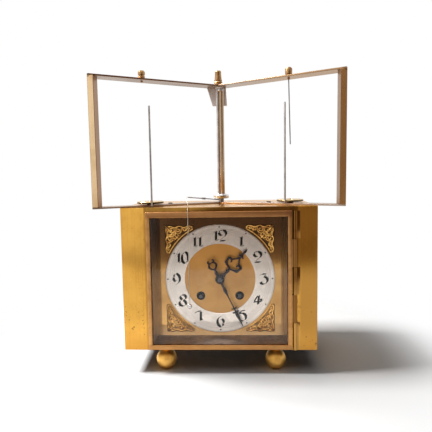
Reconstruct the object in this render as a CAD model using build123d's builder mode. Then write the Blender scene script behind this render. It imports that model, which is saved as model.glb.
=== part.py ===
"""Flying-pendulum table clock: a square brass case on ball feet with a glazed front door,
a two-train movement, and an open brass frame on top in which an arm turns with its threaded bob."""
from math import atan2, cos, degrees, hypot, pi, radians, sin, sqrt
import os

from build123d import *

os.makedirs("parts", exist_ok=True)

# ---------------------------------------------------------------- case
CASE_WIDTH = 184.8
CASE_HEIGHT = 137.7
CASE_DEPTH = 108.0
SHEET = 2.5            # front, back and side sheets
SLAB = 3.0             # base and top plates
FOOT_RADIUS = 10.0
FOOT_FLAT_RADIUS = 3.0
FOOT_NECK = 3.5        # from the ball to the base plate
FOOT_NECK_RADIUS = 3.5
FOOT_X = 54.0
FOOT_INSET = 12.5
DIAL_RISE = 63.9       # dial centre above the bottom of the case

# ---------------------------------------------------------------- recess and front door
RECESS_WIDTH = 127.6
RECESS_BOTTOM = -58.4
RECESS_TOP = 63.9
RECESS_WALL = 1.2
RECESS_DEPTH = 24.3    # case face to dial plate face
DOOR_SIDE_LAP = 4.6    # door beyond the recess
DOOR_TOP_LAP = 5.9
DOOR_BOTTOM_LAP = 4.4
DOOR_WIDTH = RECESS_WIDTH + 2 * DOOR_SIDE_LAP
DOOR_BOTTOM = RECESS_BOTTOM - DOOR_BOTTOM_LAP
DOOR_TOP = RECESS_TOP + DOOR_TOP_LAP
DOOR_THICKNESS = 3.0
DOOR_STILE = 3.9
DOOR_TOP_RAIL = 5.6
DOOR_BOTTOM_RAIL = 4.6
DOOR_GAP = 0.3         # door to case face
GLASS_THICKNESS = 1.0
GLASS_REBATE = 1.0
HINGE_RADIUS = 1.75
HINGE_SEAT = 0.35      # barrel clear of the case face
HINGE_PIN_RADIUS = 0.7
HINGE_OFFSET = 2.85    # barrel axis outside the door's edge
HINGE_LEAF = 0.6
HINGE_LEAF_WIDTH = 5.0
HINGE_END_GAP = 0.3    # between neighbouring knuckles
FRONT_KNUCKLES = 5

# ---------------------------------------------------------------- dial and hands
DIAL_THICKNESS = 1.5
DIAL_LAP = 1.0         # dial plate beyond the recess walls
RING_RADIUS = 55.0
RING_BORE = 35.4
RING_THICKNESS = 1.0
SPANDREL_THICKNESS = 0.8
SPANDREL_EDGE = 54.6   # outer corner from the dial's centre lines
SPANDREL_SIZE = 29.0
SPANDREL_GAP = 1.0     # spandrel to chapter ring
WINDING_X = 19.5
WINDING_Z = -17.4
WINDING_HOLE_RADIUS = 4.0
MINUTE_LENGTH = 52.5
MINUTE_TAIL = 21.0
MINUTE_ANGLE = 154.4   # clockwise from twelve
HOUR_LENGTH = 40.5
HOUR_TAIL = 5.0
HOUR_ANGLE = 42.5
HOUR_STEM = 1.2
HOUR_WAIST = 12.0
HOUR_LOBE = 6.5        # half width of the ornate body
HOUR_LOBE_AT = 21.5
HOUR_BOSS = 4.6
MINUTE_STEM = 0.9
MINUTE_CROSS = 2.6     # half width of the cross ornament
MINUTE_CROSS_AT = 36.0
MINUTE_TAIL_WIDTH = 3.0
MINUTE_BOSS = 3.8
HAND_THICKNESS = 0.8
HOUR_STANDOFF = 2.4    # chapter ring face to the back of the hour hand
HAND_GAP = 1.8         # hour hand to minute hand
HAND_NUT_RADIUS = 2.6
HAND_NUT_LENGTH = 2.0

# ---------------------------------------------------------------- movement
PLATE_THICKNESS = 2.0
PLATE_WIDTH = 116.0
PLATE_BOTTOM = -50.0
PLATE_TOP = 47.0
PLATE_SETBACK = 34.0   # case face to the front movement plate
PLATE_SPACING = 40.0
PILLAR_RADIUS = 3.5
PILLAR_STUD_RADIUS = 2.0
PILLAR_X = 50.0
PILLAR_TOP = 40.0
PILLAR_BOTTOM = -43.0
NUT_RADIUS = 3.6
NUT_HEIGHT = 2.0
ARBOR_RADIUS = 1.5
PIVOT_RADIUS = 1.0
PIVOT_GAP = 0.05       # running clearance of pivots, pipes and pins
END_SHAKE = 0.3        # end clearance of an arbor between the plates
WHEEL_THICKNESS = 1.4
GREAT_THICKNESS = 2.0
GREAT_TEETH = 62
CENTRE_LEAVES = 12
CENTRE_TEETH = 60
THIRD_LEAVES = 8
THIRD_TEETH = 60
CONTRATE_LEAVES = 8
CONTRATE_TEETH = 48
SPINDLE_LEAVES = 8
CENTRE_MODULE = 0.55
THIRD_MODULE = 0.5
CONTRATE_MODULE = 0.5
CONTRATE_RIM = 1.2
CONTRATE_RISE = 30.4   # contrate arbor above the centre arbor
CROWN_BACK = 0.95
CROWN_TOOTH_SHARE = 0.34
SPINDLE_PINION = 5.0
COCK_THICKNESS = 2.0
COCK_END = 2.6
TRAIN_ARBOR_RADIUS = 1.2
GOING_WHEEL = 38.0     # front faces of the wheels behind the case face
STRIKE_WHEEL = 70.0
CENTRE_WHEEL = 73.0
THIRD_WHEEL = 64.0
PIN_WHEEL = 44.0
PIN_BEARING = 127.0    # pin arbor seen from the strike barrel
FLY_BEARING = 80.0     # fly arbor seen from the pin arbor
STRIKE_MODULE = 0.7
STRIKE_LEAVES = 8
PIN_TEETH = 60
PIN_MODULE = 0.5
FLY_LEAVES = 8
BARREL_RADIUS = 16.0
BARREL_WALL = 1.0
GOING_DRUM = 22.0
STRIKE_DRUM = 20.0
BARREL_ARBOR_RADIUS = 2.6
WINDING_SQUARE = 3.4
RATCHET_RADIUS = 7.0
RATCHET_TEETH = 18
RATCHET_TOOTH = 1.2
RATCHET_DEPTH = 31.0
RATCHET_THICKNESS = 2.0
WINDING_TIP = 22.0     # front of the winding squares behind the case face
CLICK_X = 9.0
CLICK_Z = -9.0
CLICK_RADIUS = 2.0
MOTION_MODULE = 0.5
MOTION_GAP = 1.2       # cannon pinion leaves to the hour wheel
CANNON_HEIGHT = 2.4
CANNON_LEAVES = 12
MINUTE_TEETH = 36
HOUR_LEAVES = 10
HOUR_TEETH = 40
CANNON_RADIUS = 2.3
HOUR_PIPE_RADIUS = 3.2
LIFT_PINS = 8
LIFT_PIN_RADIUS = 0.5
LIFT_PIN_CIRCLE = 12.5
LIFT_PIN_LENGTH = 3.6
FLY_REACH = 11.0
FLY_WIDTH = 8.0
FLY_THICKNESS = 0.6
FLY_DEPTH = 52.0
HAMMER_X = -52.0
HAMMER_Z = -12.0
HAMMER_ARM_X = -11.5   # hammer head from its arbor
HAMMER_ARM_Z = -29.0
HAMMER_SETBACK = 4.0    # hammer arm behind the rear plate
HAMMER_ARM_WIDTH = 2.4
GONG_BLOCK_WIDTH = 12.0
GONG_BLOCK_X = -88.0
GONG_RADIUS = 1.5
GONG_LENGTH = 125.0
GONG_BLOCK_CAP = 2.0   # block above the rod
HAMMER_HEAD_RADIUS = 4.0
HAMMER_HEAD_LENGTH = 9.0
HAMMER_LIFT_GAP = 0.5  # hammer to gong rod at rest

# ---------------------------------------------------------------- upper frame and pendulum
STRIP_THICKNESS = 1.6
STRIP_DEPTH = 17.3     # strip measured front to back
STRIP_REACH = 115.0    # half width over the strip ends
STRIP_TIP = -11.1      # strip ends, in front of the case face
STRIP_APEX = 51.7      # front edge of the strips on the centre line
FRAME_HEIGHT = 122.1   # case top to the top of the upper strips
UPRIGHT_WIDTH = 5.6
UPRIGHT_DEPTH = 12.5
SPINDLE_X = 1.6
SPINDLE_DEPTH = 57.0   # spindle axis behind the case face
SPINDLE_RADIUS = 4.0
SPINDLE_SOCKET = 8.0   # arbor inside the column
SPINDLE_BASE = 10.0    # lower end of the thick column, above the case top
COLLAR_RADIUS = 8.2
COLLAR_BASE = 5.2
ARM_REACH = 36.9
ARM_ANGLE = 189.4
ARM_RADIUS = 0.6
ARM_HUB = 2.8
ARM_EYE = 0.9
ARM_SLEEVE_AT = 17.0
ARM_SLEEVE_LENGTH = 4.0
ARM_SLEEVE_RADIUS = 1.1
ARM_RISE = 3.6         # hub centre above the case top
ARM_TIP_RISE = 7.0
FINIAL_RADIUS = 6.0
FINIAL_HEIGHT = 16.0
FINIAL_BASE = 2.0
FINIAL_NECK = 2.6
FINIAL_BELLY = 4.2
FINIAL_TIP = 2.6
FINIAL_COVE = 1.0      # height of each step of the turned profile
BRACKET_DROP = 18.6
BRACKET_TOP_WIDTH = 19.8
BRACKET_BOTTOM_WIDTH = 15.2
BRACKET_TOP_X = -2.0
BRACKET_BOTTOM_X = 1.3
BRACKET_THICKNESS = 2.0
BRACKET_GAP = 0.5      # column to bracket
BRACKET_FLANGE = 2.0
BRACKET_FLANGE_DEPTH = 10.0
DISC_RADIUS = 13.0
DISC_THICKNESS = 2.2
DISC_RISE = 2.8        # underside of the disc above the case top
DISC_LEFT_X = 67.5
DISC_LEFT_SET = -1.49   # disc centre behind the strip's centre line
DISC_RIGHT_X = 70.0
DISC_RIGHT_SET = 4.38
DISC_WASHER = 3.4
DISC_SHAKE = 0.1       # axial play of the discs and knobs
POST_RADIUS = 0.9
POST_X = 63.8
POST_TOP = 95.7        # post tips above the case top
POST_LEFT_FOOT = 0.6
POST_RIGHT_FOOT = 2.2
KNOB_RADIUS = 3.4
KNOB_LEFT_X = 72.3
KNOB_RIGHT_X = 68.4
KNOB_COLLAR = 2.2
KNOB_FLARE = 4.7
KNOB_LEFT_BOTTOM = 125.6   # heights above the case top
KNOB_LEFT_TOP = 132.4
KNOB_RIGHT_BOTTOM = 124.0
KNOB_RIGHT_TOP = 133.0
KNOB_SCREW = 1.2       # screw tips below the strip
WIRE_RADIUS = 0.55
WIRE_LENGTH = 61.2
WIRE_LEAN = 1.5
THREAD_RADIUS = 0.4
THREAD_X = -28.1
THREAD_SEAT = 0.1      # thread clear of the edges it runs over
THREAD_BEND = 1.0
BOB_RADIUS = 2.2
BOB_Z = -19.8          # bob centre from the dial centre
SCREW_RADIUS = 2.25
SCREW_HEAD = 1.0
FRAME_SCREW_X = 50.0
FRAME_SCREW_SET = 4.0  # behind the strip's centre line
MOVING_GAP = 0.3       # smallest gap between pieces that move past each other

# ---------------------------------------------------------------- back door
BACK_DOOR_WIDTH = 130.0
BACK_DOOR_HEIGHT = 110.0
BACK_OPENING_WIDTH = 120.0
BACK_OPENING_HEIGHT = 100.0
BACK_DOOR_THICKNESS = 2.0
BACK_KNOB_RADIUS = 4.0
BACK_KNOB_LENGTH = 7.0

# ---------------------------------------------------------------- fits
FIT = 0.02             # radial clearance of pieces fixed together
TOOTH_TIP = 0.34       # tooth width at the tip, share of the pitch
TOOTH_ROOT = 0.8
ADDENDUM = 0.65        # tooth height outside and inside the pitch circle, in modules
DEDENDUM = 1.1

# ---------------------------------------------------------------- derived places
foot_centre = sqrt(FOOT_RADIUS**2 - FOOT_FLAT_RADIUS**2)
case_base = foot_centre + FOOT_RADIUS + FOOT_NECK
case_top = case_base + CASE_HEIGHT
dial_z = case_base + DIAL_RISE
back_reach = CASE_DEPTH + DOOR_GAP + BACK_DOOR_THICKNESS + BACK_KNOB_LENGTH
front_y = -(back_reach + STRIP_TIP) / 2
case_middle = CASE_HEIGHT / 2 - DIAL_RISE
hammer_at = (HAMMER_X, HAMMER_Z)
inner_base = SLAB - DIAL_RISE
ring_face = RECESS_DEPTH - RING_THICKNESS
hour_back = ring_face - HOUR_STANDOFF
hour_front = hour_back - HAND_THICKNESS
minute_back = hour_front - HAND_GAP
minute_front = minute_back - HAND_THICKNESS
plate_inside = PLATE_SETBACK + PLATE_THICKNESS
back_plate_face = plate_inside + PLATE_SPACING
hammer_front = back_plate_face + PLATE_THICKNESS + HAMMER_SETBACK
foot_places = [
    (side * FOOT_X, depth)
    for side in (-1, 1)
    for depth in (FOOT_INSET, CASE_DEPTH - FOOT_INSET)
]
pillar_places = [
    (side * PILLAR_X, height) for side in (-1, 1) for height in (PILLAR_BOTTOM, PILLAR_TOP)
]


def facing(depth):
    """Plane seen from the front at a depth behind the case face, origin on the dial centre."""
    return Plane(origin=(0, front_y + depth, dial_z), x_dir=(1, 0, 0), z_dir=(0, -1, 0))


def turned(depth, clockwise):
    """The same plane with its upward axis turned clockwise, for the hands."""
    angle = radians(clockwise)
    return Plane(
        origin=(0, front_y + depth, dial_z),
        x_dir=(cos(angle), 0, -sin(angle)),
        z_dir=(0, -1, 0),
    )


def level(height):
    """Horizontal plane; its second axis runs back from the case face."""
    return Plane(origin=(0, front_y, height), x_dir=(1, 0, 0), z_dir=(0, 0, 1))


def polar(radius, angle, centre=(0, 0)):
    """Point at a radius and an angle in degrees."""
    turn = radians(angle)
    return (centre[0] + radius * cos(turn), centre[1] + radius * sin(turn))


def bearing(start, end):
    """Direction from one point to another in degrees."""
    return degrees(atan2(end[1] - start[1], end[0] - start[0]))


def gear_outline(teeth, module, phase, centre):
    """Closed outline of a toothed wheel with one tooth at the given angle."""
    pitch = 360 / teeth
    root = module * (teeth / 2 - DEDENDUM)
    tip = module * (teeth / 2 + ADDENDUM)
    half_root = pitch * TOOTH_ROOT / 4
    half_tip = pitch * TOOTH_TIP / 4
    corners = []
    for index in range(teeth):
        middle = phase + index * pitch
        corners.append(polar(root, middle - half_root, centre))
        corners.append(polar(tip, middle - half_tip, centre))
        corners.append(polar(tip, middle + half_tip, centre))
        corners.append(polar(root, middle + half_root, centre))
    return corners


def gap_phase(teeth, towards):
    """Phase that turns a gap, not a tooth, towards an angle."""
    return towards + 180 / teeth


def mesh_point(first, first_distance, second, second_distance):
    """Arbor place at set distances from two others, to the left of the line between them."""
    span = hypot(second[0] - first[0], second[1] - first[1])
    along = (first_distance**2 - second_distance**2 + span**2) / (2 * span)
    across = sqrt(first_distance**2 - along**2)
    step = ((second[0] - first[0]) / span, (second[1] - first[1]) / span)
    return (
        first[0] + step[0] * along - step[1] * across,
        first[1] + step[1] * along + step[0] * across,
    )


def finish(made, name):
    """Label a finished piece and write it."""
    made.part.label = name
    export_step(made.part, f"parts/{name}.step")


# ================================================================ case
with BuildPart() as base_plate:
    with BuildSketch(level(case_base)):
        with Locations((0, CASE_DEPTH / 2)):
            Rectangle(CASE_WIDTH, CASE_DEPTH - 2 * SHEET)
        with Locations(*foot_places):
            Circle(FOOT_NECK_RADIUS / 2 + FIT, mode=Mode.SUBTRACT)
    extrude(amount=SLAB)
finish(base_plate, "base_plate")

strip_slope = (STRIP_APEX - STRIP_TIP) / STRIP_REACH


def strip_middle(x):
    """Depth of a strip's centre line at a distance from the middle."""
    return STRIP_APEX - strip_slope * abs(x) + STRIP_DEPTH / 2


frame_screw_depth = strip_middle(FRAME_SCREW_X) + FRAME_SCREW_SET
frame_screw_places = [(side * FRAME_SCREW_X, frame_screw_depth) for side in (-1, 1)]

with BuildPart() as top_plate:
    with BuildSketch(level(case_top - SLAB)):
        with Locations((0, CASE_DEPTH / 2)):
            Rectangle(CASE_WIDTH, CASE_DEPTH - 2 * SHEET)
        with Locations((SPINDLE_X, SPINDLE_DEPTH)):
            Circle(ARBOR_RADIUS + MOVING_GAP, mode=Mode.SUBTRACT)
        with Locations(*frame_screw_places):
            Circle(SCREW_RADIUS / 2 + FIT, mode=Mode.SUBTRACT)
    extrude(amount=SLAB)
finish(top_plate, "top_plate")

side_height = CASE_HEIGHT - 2 * SLAB
side_length = CASE_DEPTH - 2 * SHEET
for name, side in (("side_plate_left", -1), ("side_plate_right", 1)):
    with BuildPart() as side_plate:
        with BuildSketch(level(case_base + SLAB)):
            with Locations((side * (CASE_WIDTH - SHEET) / 2, CASE_DEPTH / 2)):
                Rectangle(SHEET, side_length)
        extrude(amount=side_height)
    finish(side_plate, name)

recess_height = RECESS_TOP - RECESS_BOTTOM
recess_middle = (RECESS_TOP + RECESS_BOTTOM) / 2
lining_width = RECESS_WIDTH + 2 * RECESS_WALL
lining_height = recess_height + 2 * RECESS_WALL

with BuildPart() as front_plate:
    with BuildSketch(facing(SHEET)):
        with Locations((0, case_middle)):
            Rectangle(CASE_WIDTH, CASE_HEIGHT)
        with Locations((0, recess_middle)):
            Rectangle(lining_width, lining_height, mode=Mode.SUBTRACT)
    extrude(amount=SHEET)
finish(front_plate, "front_plate")

with BuildPart() as ball_feet:
    neck_length = FOOT_RADIUS + FOOT_NECK
    with BuildSketch(level(foot_centre)):
        with Locations(*foot_places):
            Circle(FOOT_NECK_RADIUS)
    extrude(amount=neck_length)
    with BuildSketch(level(case_base)):
        with Locations(*foot_places):
            Circle(FOOT_NECK_RADIUS / 2)
    extrude(amount=SLAB)
    with Locations(*[(x, front_y + depth, foot_centre) for x, depth in foot_places]):
        Sphere(FOOT_RADIUS)
    split(bisect_by=Plane.XY, keep=Keep.TOP)
finish(ball_feet, "ball_feet")

with BuildPart() as dial_surround:
    with BuildSketch(facing(RECESS_DEPTH)):
        with Locations((0, recess_middle)):
            Rectangle(lining_width, lining_height)
            Rectangle(RECESS_WIDTH, recess_height, mode=Mode.SUBTRACT)
    extrude(amount=RECESS_DEPTH)
finish(dial_surround, "dial_surround")

# ================================================================ dial
winding_places = [(side * WINDING_X, WINDING_Z) for side in (-1, 1)]

with BuildPart() as dial_plate:
    with BuildSketch(facing(RECESS_DEPTH + DIAL_THICKNESS)):
        with Locations((0, recess_middle)):
            Rectangle(lining_width + 2 * DIAL_LAP, lining_height + 2 * DIAL_LAP)
        with Locations(*winding_places):
            Circle(WINDING_HOLE_RADIUS, mode=Mode.SUBTRACT)
        Circle(HOUR_PIPE_RADIUS + MOVING_GAP, mode=Mode.SUBTRACT)
    extrude(amount=DIAL_THICKNESS)
finish(dial_plate, "dial_plate")

with BuildPart() as chapter_ring:
    with BuildSketch(facing(RECESS_DEPTH)):
        Circle(RING_RADIUS)
        Circle(RING_BORE, mode=Mode.SUBTRACT)
    extrude(amount=RING_THICKNESS)
finish(chapter_ring, "chapter_ring")

with BuildPart() as spandrels:
    with BuildSketch(facing(RECESS_DEPTH)):
        spandrel_pitch = 2 * SPANDREL_EDGE - SPANDREL_SIZE
        with GridLocations(spandrel_pitch, spandrel_pitch, 2, 2):
            Rectangle(SPANDREL_SIZE, SPANDREL_SIZE)
        Circle(RING_RADIUS + SPANDREL_GAP, mode=Mode.SUBTRACT)
    extrude(amount=SPANDREL_THICKNESS)
finish(spandrels, "spandrels")

# ================================================================ front door
door_height = DOOR_TOP - DOOR_BOTTOM
door_middle = (DOOR_TOP + DOOR_BOTTOM) / 2
sight_width = DOOR_WIDTH - 2 * DOOR_STILE
sight_top = DOOR_TOP - DOOR_TOP_RAIL
sight_bottom = DOOR_BOTTOM + DOOR_BOTTOM_RAIL
sight_height = sight_top - sight_bottom
sight_middle = (sight_top + sight_bottom) / 2
hinge_depth = -HINGE_SEAT - HINGE_RADIUS
front_hinge_x = DOOR_WIDTH / 2 + HINGE_OFFSET
knuckle_length = (door_height - (FRONT_KNUCKLES - 1) * HINGE_END_GAP) / FRONT_KNUCKLES


def knuckle_starts(bottom, length, first):
    """Lower ends of every second knuckle of a barrel."""
    return [bottom + index * (length + HINGE_END_GAP) for index in range(first, FRONT_KNUCKLES, 2)]


with BuildPart() as door_frame:
    with BuildSketch(facing(-DOOR_GAP)):
        with Locations((0, door_middle)):
            Rectangle(DOOR_WIDTH, door_height)
        with Locations((0, sight_middle)):
            Rectangle(sight_width, sight_height, mode=Mode.SUBTRACT)
    extrude(amount=DOOR_THICKNESS)
    with BuildSketch(facing(-DOOR_GAP)):
        with Locations((0, sight_middle)):
            Rectangle(sight_width + 2 * GLASS_REBATE, sight_height + 2 * GLASS_REBATE)
    extrude(amount=GLASS_THICKNESS, mode=Mode.SUBTRACT)
    for start in knuckle_starts(dial_z + DOOR_BOTTOM, knuckle_length, 1):
        with BuildSketch(level(start)):
            with Locations(((DOOR_WIDTH / 2 + front_hinge_x) / 2, hinge_depth)):
                Rectangle(HINGE_OFFSET, 2 * HINGE_LEAF)
            with Locations((front_hinge_x, hinge_depth)):
                Circle(HINGE_RADIUS)
                Circle(HINGE_PIN_RADIUS + PIVOT_GAP, mode=Mode.SUBTRACT)
        extrude(amount=knuckle_length)
finish(door_frame, "door_frame")

with BuildPart() as door_glass:
    with BuildSketch(facing(-DOOR_GAP)):
        with Locations((0, sight_middle)):
            Rectangle(sight_width + 2 * GLASS_REBATE, sight_height + 2 * GLASS_REBATE)
    extrude(amount=GLASS_THICKNESS)
finish(door_glass, "door_glass")

with BuildPart() as front_hinge:
    for start in knuckle_starts(dial_z + DOOR_BOTTOM, knuckle_length, 0):
        with BuildSketch(level(start)):
            with Locations((front_hinge_x + HINGE_LEAF_WIDTH / 2, -HINGE_LEAF / 2)):
                Rectangle(HINGE_LEAF_WIDTH, HINGE_LEAF)
            with Locations((front_hinge_x, hinge_depth)):
                Circle(HINGE_RADIUS)
                Circle(HINGE_PIN_RADIUS + FIT, mode=Mode.SUBTRACT)
        extrude(amount=knuckle_length)
    with BuildSketch(level(dial_z + DOOR_BOTTOM)):
        with Locations((front_hinge_x, hinge_depth)):
            Circle(HINGE_PIN_RADIUS)
    extrude(amount=door_height)
finish(front_hinge, "front_hinge")

# ================================================================ back door
back_face = CASE_DEPTH + DOOR_GAP
back_hinge_x = BACK_DOOR_WIDTH / 2 + HINGE_OFFSET
back_hinge_depth = CASE_DEPTH + HINGE_SEAT + HINGE_RADIUS
back_bottom = dial_z + case_middle - BACK_DOOR_HEIGHT / 2
back_knuckle = (BACK_DOOR_HEIGHT - (FRONT_KNUCKLES - 1) * HINGE_END_GAP) / FRONT_KNUCKLES

with BuildPart() as back_plate:
    with BuildSketch(facing(CASE_DEPTH)):
        with Locations((0, case_middle)):
            Rectangle(CASE_WIDTH, CASE_HEIGHT)
            Rectangle(BACK_OPENING_WIDTH, BACK_OPENING_HEIGHT, mode=Mode.SUBTRACT)
    extrude(amount=SHEET)
    for start in knuckle_starts(back_bottom, back_knuckle, 0):
        with BuildSketch(level(start)):
            with Locations((back_hinge_x + HINGE_LEAF_WIDTH / 2, CASE_DEPTH + HINGE_LEAF / 2)):
                Rectangle(HINGE_LEAF_WIDTH, HINGE_LEAF)
            with Locations((back_hinge_x, back_hinge_depth)):
                Circle(HINGE_RADIUS)
                Circle(HINGE_PIN_RADIUS + FIT, mode=Mode.SUBTRACT)
        extrude(amount=back_knuckle)
    with BuildSketch(level(back_bottom)):
        with Locations((back_hinge_x, back_hinge_depth)):
            Circle(HINGE_PIN_RADIUS)
    extrude(amount=BACK_DOOR_HEIGHT)
finish(back_plate, "back_plate")

with BuildPart() as back_door:
    with BuildSketch(facing(back_face + BACK_DOOR_THICKNESS)):
        with Locations((0, case_middle)):
            Rectangle(BACK_DOOR_WIDTH, BACK_DOOR_HEIGHT)
    extrude(amount=BACK_DOOR_THICKNESS)
    for start in knuckle_starts(back_bottom, back_knuckle, 1):
        with BuildSketch(level(start)):
            with Locations(((BACK_DOOR_WIDTH / 2 + back_hinge_x) / 2, back_face + HINGE_LEAF)):
                Rectangle(HINGE_OFFSET, 2 * HINGE_LEAF)
            with Locations((back_hinge_x, back_hinge_depth)):
                Circle(HINGE_RADIUS)
                Circle(HINGE_PIN_RADIUS + PIVOT_GAP, mode=Mode.SUBTRACT)
        extrude(amount=back_knuckle)
    with BuildSketch(facing(back_face + BACK_DOOR_THICKNESS + BACK_KNOB_LENGTH)):
        with Locations((-BACK_DOOR_WIDTH / 2 + 2 * BACK_KNOB_RADIUS, case_middle)):
            Circle(BACK_KNOB_RADIUS)
    extrude(amount=BACK_KNOB_LENGTH / 2)
    with BuildSketch(facing(back_face + BACK_DOOR_THICKNESS + BACK_KNOB_LENGTH / 2)):
        with Locations((-BACK_DOOR_WIDTH / 2 + 2 * BACK_KNOB_RADIUS, case_middle)):
            Circle(BACK_KNOB_RADIUS / 2)
    extrude(amount=BACK_KNOB_LENGTH / 2)
finish(back_door, "back_door")

# ================================================================ movement: places of the arbors
centre = (0, 0)
strike_barrel_at, going_barrel_at = winding_places
great_distance = hypot(WINDING_X, WINDING_Z)
great_module = 2 * great_distance / (GREAT_TEETH + CENTRE_LEAVES)
contrate_radius = CONTRATE_MODULE * CONTRATE_TEETH / 2
contrate_at = (SPINDLE_X, CONTRATE_RISE)
third_at = mesh_point(
    centre,
    CENTRE_MODULE * (CENTRE_TEETH + THIRD_LEAVES) / 2,
    contrate_at,
    THIRD_MODULE * (THIRD_TEETH + CONTRATE_LEAVES) / 2,
)
pin_distance = STRIKE_MODULE * (GREAT_TEETH + STRIKE_LEAVES) / 2
pin_at = polar(pin_distance, PIN_BEARING, strike_barrel_at)
fly_at = polar(PIN_MODULE * (PIN_TEETH + FLY_LEAVES) / 2, FLY_BEARING, pin_at)
minute_at = (0, MOTION_MODULE * (CANNON_LEAVES + MINUTE_TEETH) / 2)
hour_module = 2 * minute_at[1] / (HOUR_LEAVES + HOUR_TEETH)
cannon_back = PLATE_SETBACK - MOVING_GAP
cannon_front = cannon_back - CANNON_HEIGHT
hour_wheel_back = cannon_front - MOTION_GAP
hour_wheel_front = hour_wheel_back - WHEEL_THICKNESS
arbor_end = back_plate_face - END_SHAKE
pivot_end = back_plate_face + PLATE_THICKNESS - END_SHAKE
arbor_start = plate_inside + END_SHAKE
pivot_start = PLATE_SETBACK + END_SHAKE


def turned_pieces(*sections):
    """Round sections of an arbor as (place, front depth, back depth, radius)."""
    for place, front, back, radius in sections:
        with BuildSketch(facing(back)) as section:
            with Locations(place):
                Circle(radius)
        extrude(section.sketch, amount=back - front)


def toothed(front, back, teeth, module, phase, place, bore=0):
    """One toothed ring or pinion between two depths."""
    with BuildSketch(facing(back)) as outline:
        with BuildLine():
            Polyline(*gear_outline(teeth, module, phase, place), close=True)
        make_face()
        if bore:
            with Locations(place):
                Circle(bore, mode=Mode.SUBTRACT)
    extrude(outline.sketch, amount=back - front)


click_places = [
    (place[0] + side * CLICK_X, place[1] + CLICK_Z)
    for place, side in ((strike_barrel_at, -1), (going_barrel_at, 1))
]
bearing_holes = [
    (going_barrel_at, BARREL_ARBOR_RADIUS),
    (strike_barrel_at, BARREL_ARBOR_RADIUS),
    (third_at, PIVOT_RADIUS),
    (contrate_at, PIVOT_RADIUS),
    (pin_at, PIVOT_RADIUS),
    (fly_at, PIVOT_RADIUS),
    (hammer_at, ARBOR_RADIUS),
]
for name, front, centre_radius in (
    ("movement_front_plate", PLATE_SETBACK, ARBOR_RADIUS),
    ("movement_back_plate", back_plate_face, PIVOT_RADIUS),
):
    with BuildPart() as movement_plate:
        with BuildSketch(facing(front + PLATE_THICKNESS)):
            with Locations((0, (PLATE_TOP + PLATE_BOTTOM) / 2)):
                Rectangle(PLATE_WIDTH, PLATE_TOP - PLATE_BOTTOM)
            for place, radius in bearing_holes:
                with Locations(place):
                    Circle(radius + PIVOT_GAP, mode=Mode.SUBTRACT)
            Circle(centre_radius + PIVOT_GAP, mode=Mode.SUBTRACT)
            with Locations(*pillar_places):
                Circle(PILLAR_STUD_RADIUS + FIT, mode=Mode.SUBTRACT)
        extrude(amount=PLATE_THICKNESS)
        if front == PLATE_SETBACK:
            with BuildSketch(facing(plate_inside)):
                with Locations(*click_places):
                    Circle(PIVOT_RADIUS + PIVOT_GAP)
            extrude(amount=PLATE_THICKNESS, mode=Mode.SUBTRACT)
            turned_pieces((minute_at, hour_wheel_front - MOVING_GAP, PLATE_SETBACK, PIVOT_RADIUS))
    finish(movement_plate, name)

with BuildPart() as pillars:
    nut_face = back_plate_face + PLATE_THICKNESS
    for place in pillar_places:
        turned_pieces(
            (place, RECESS_DEPTH + DIAL_THICKNESS, PLATE_SETBACK, PILLAR_RADIUS),
            (place, PLATE_SETBACK, plate_inside, PILLAR_STUD_RADIUS),
            (place, plate_inside, back_plate_face, PILLAR_RADIUS),
            (place, back_plate_face, nut_face + NUT_HEIGHT, PILLAR_STUD_RADIUS),
        )
    with BuildSketch(facing(nut_face + NUT_HEIGHT)):
        with Locations(*pillar_places):
            RegularPolygon(NUT_RADIUS, side_count=6)
            Circle(PILLAR_STUD_RADIUS + FIT, mode=Mode.SUBTRACT)
    extrude(amount=NUT_HEIGHT)
finish(pillars, "pillars")

# ================================================================ winding barrels
barrel_bore = BARREL_ARBOR_RADIUS + PIVOT_GAP
for name, place, wheel_front, drum_front, drum_back, module, towards in (
    ("going_barrel", going_barrel_at, GOING_WHEEL, GOING_WHEEL + GREAT_THICKNESS,
     GOING_WHEEL + GREAT_THICKNESS + GOING_DRUM, great_module, bearing(going_barrel_at, centre)),
    ("strike_barrel", strike_barrel_at, STRIKE_WHEEL, STRIKE_WHEEL - STRIKE_DRUM,
     STRIKE_WHEEL, STRIKE_MODULE, bearing(strike_barrel_at, pin_at)),
):
    with BuildPart() as barrel:
        toothed(wheel_front, wheel_front + GREAT_THICKNESS, GREAT_TEETH, module, towards, place,
                barrel_bore)
        with BuildSketch(facing(drum_back)):
            with Locations(place):
                Circle(BARREL_RADIUS)
                Circle(barrel_bore, mode=Mode.SUBTRACT)
        extrude(amount=drum_back - drum_front)
        with BuildSketch(facing(drum_back - BARREL_WALL)):
            with Locations(place):
                Circle(BARREL_RADIUS - BARREL_WALL)
                Circle(barrel_bore + BARREL_WALL, mode=Mode.SUBTRACT)
        extrude(amount=drum_back - drum_front - 2 * BARREL_WALL, mode=Mode.SUBTRACT)
    finish(barrel, name)

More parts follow.
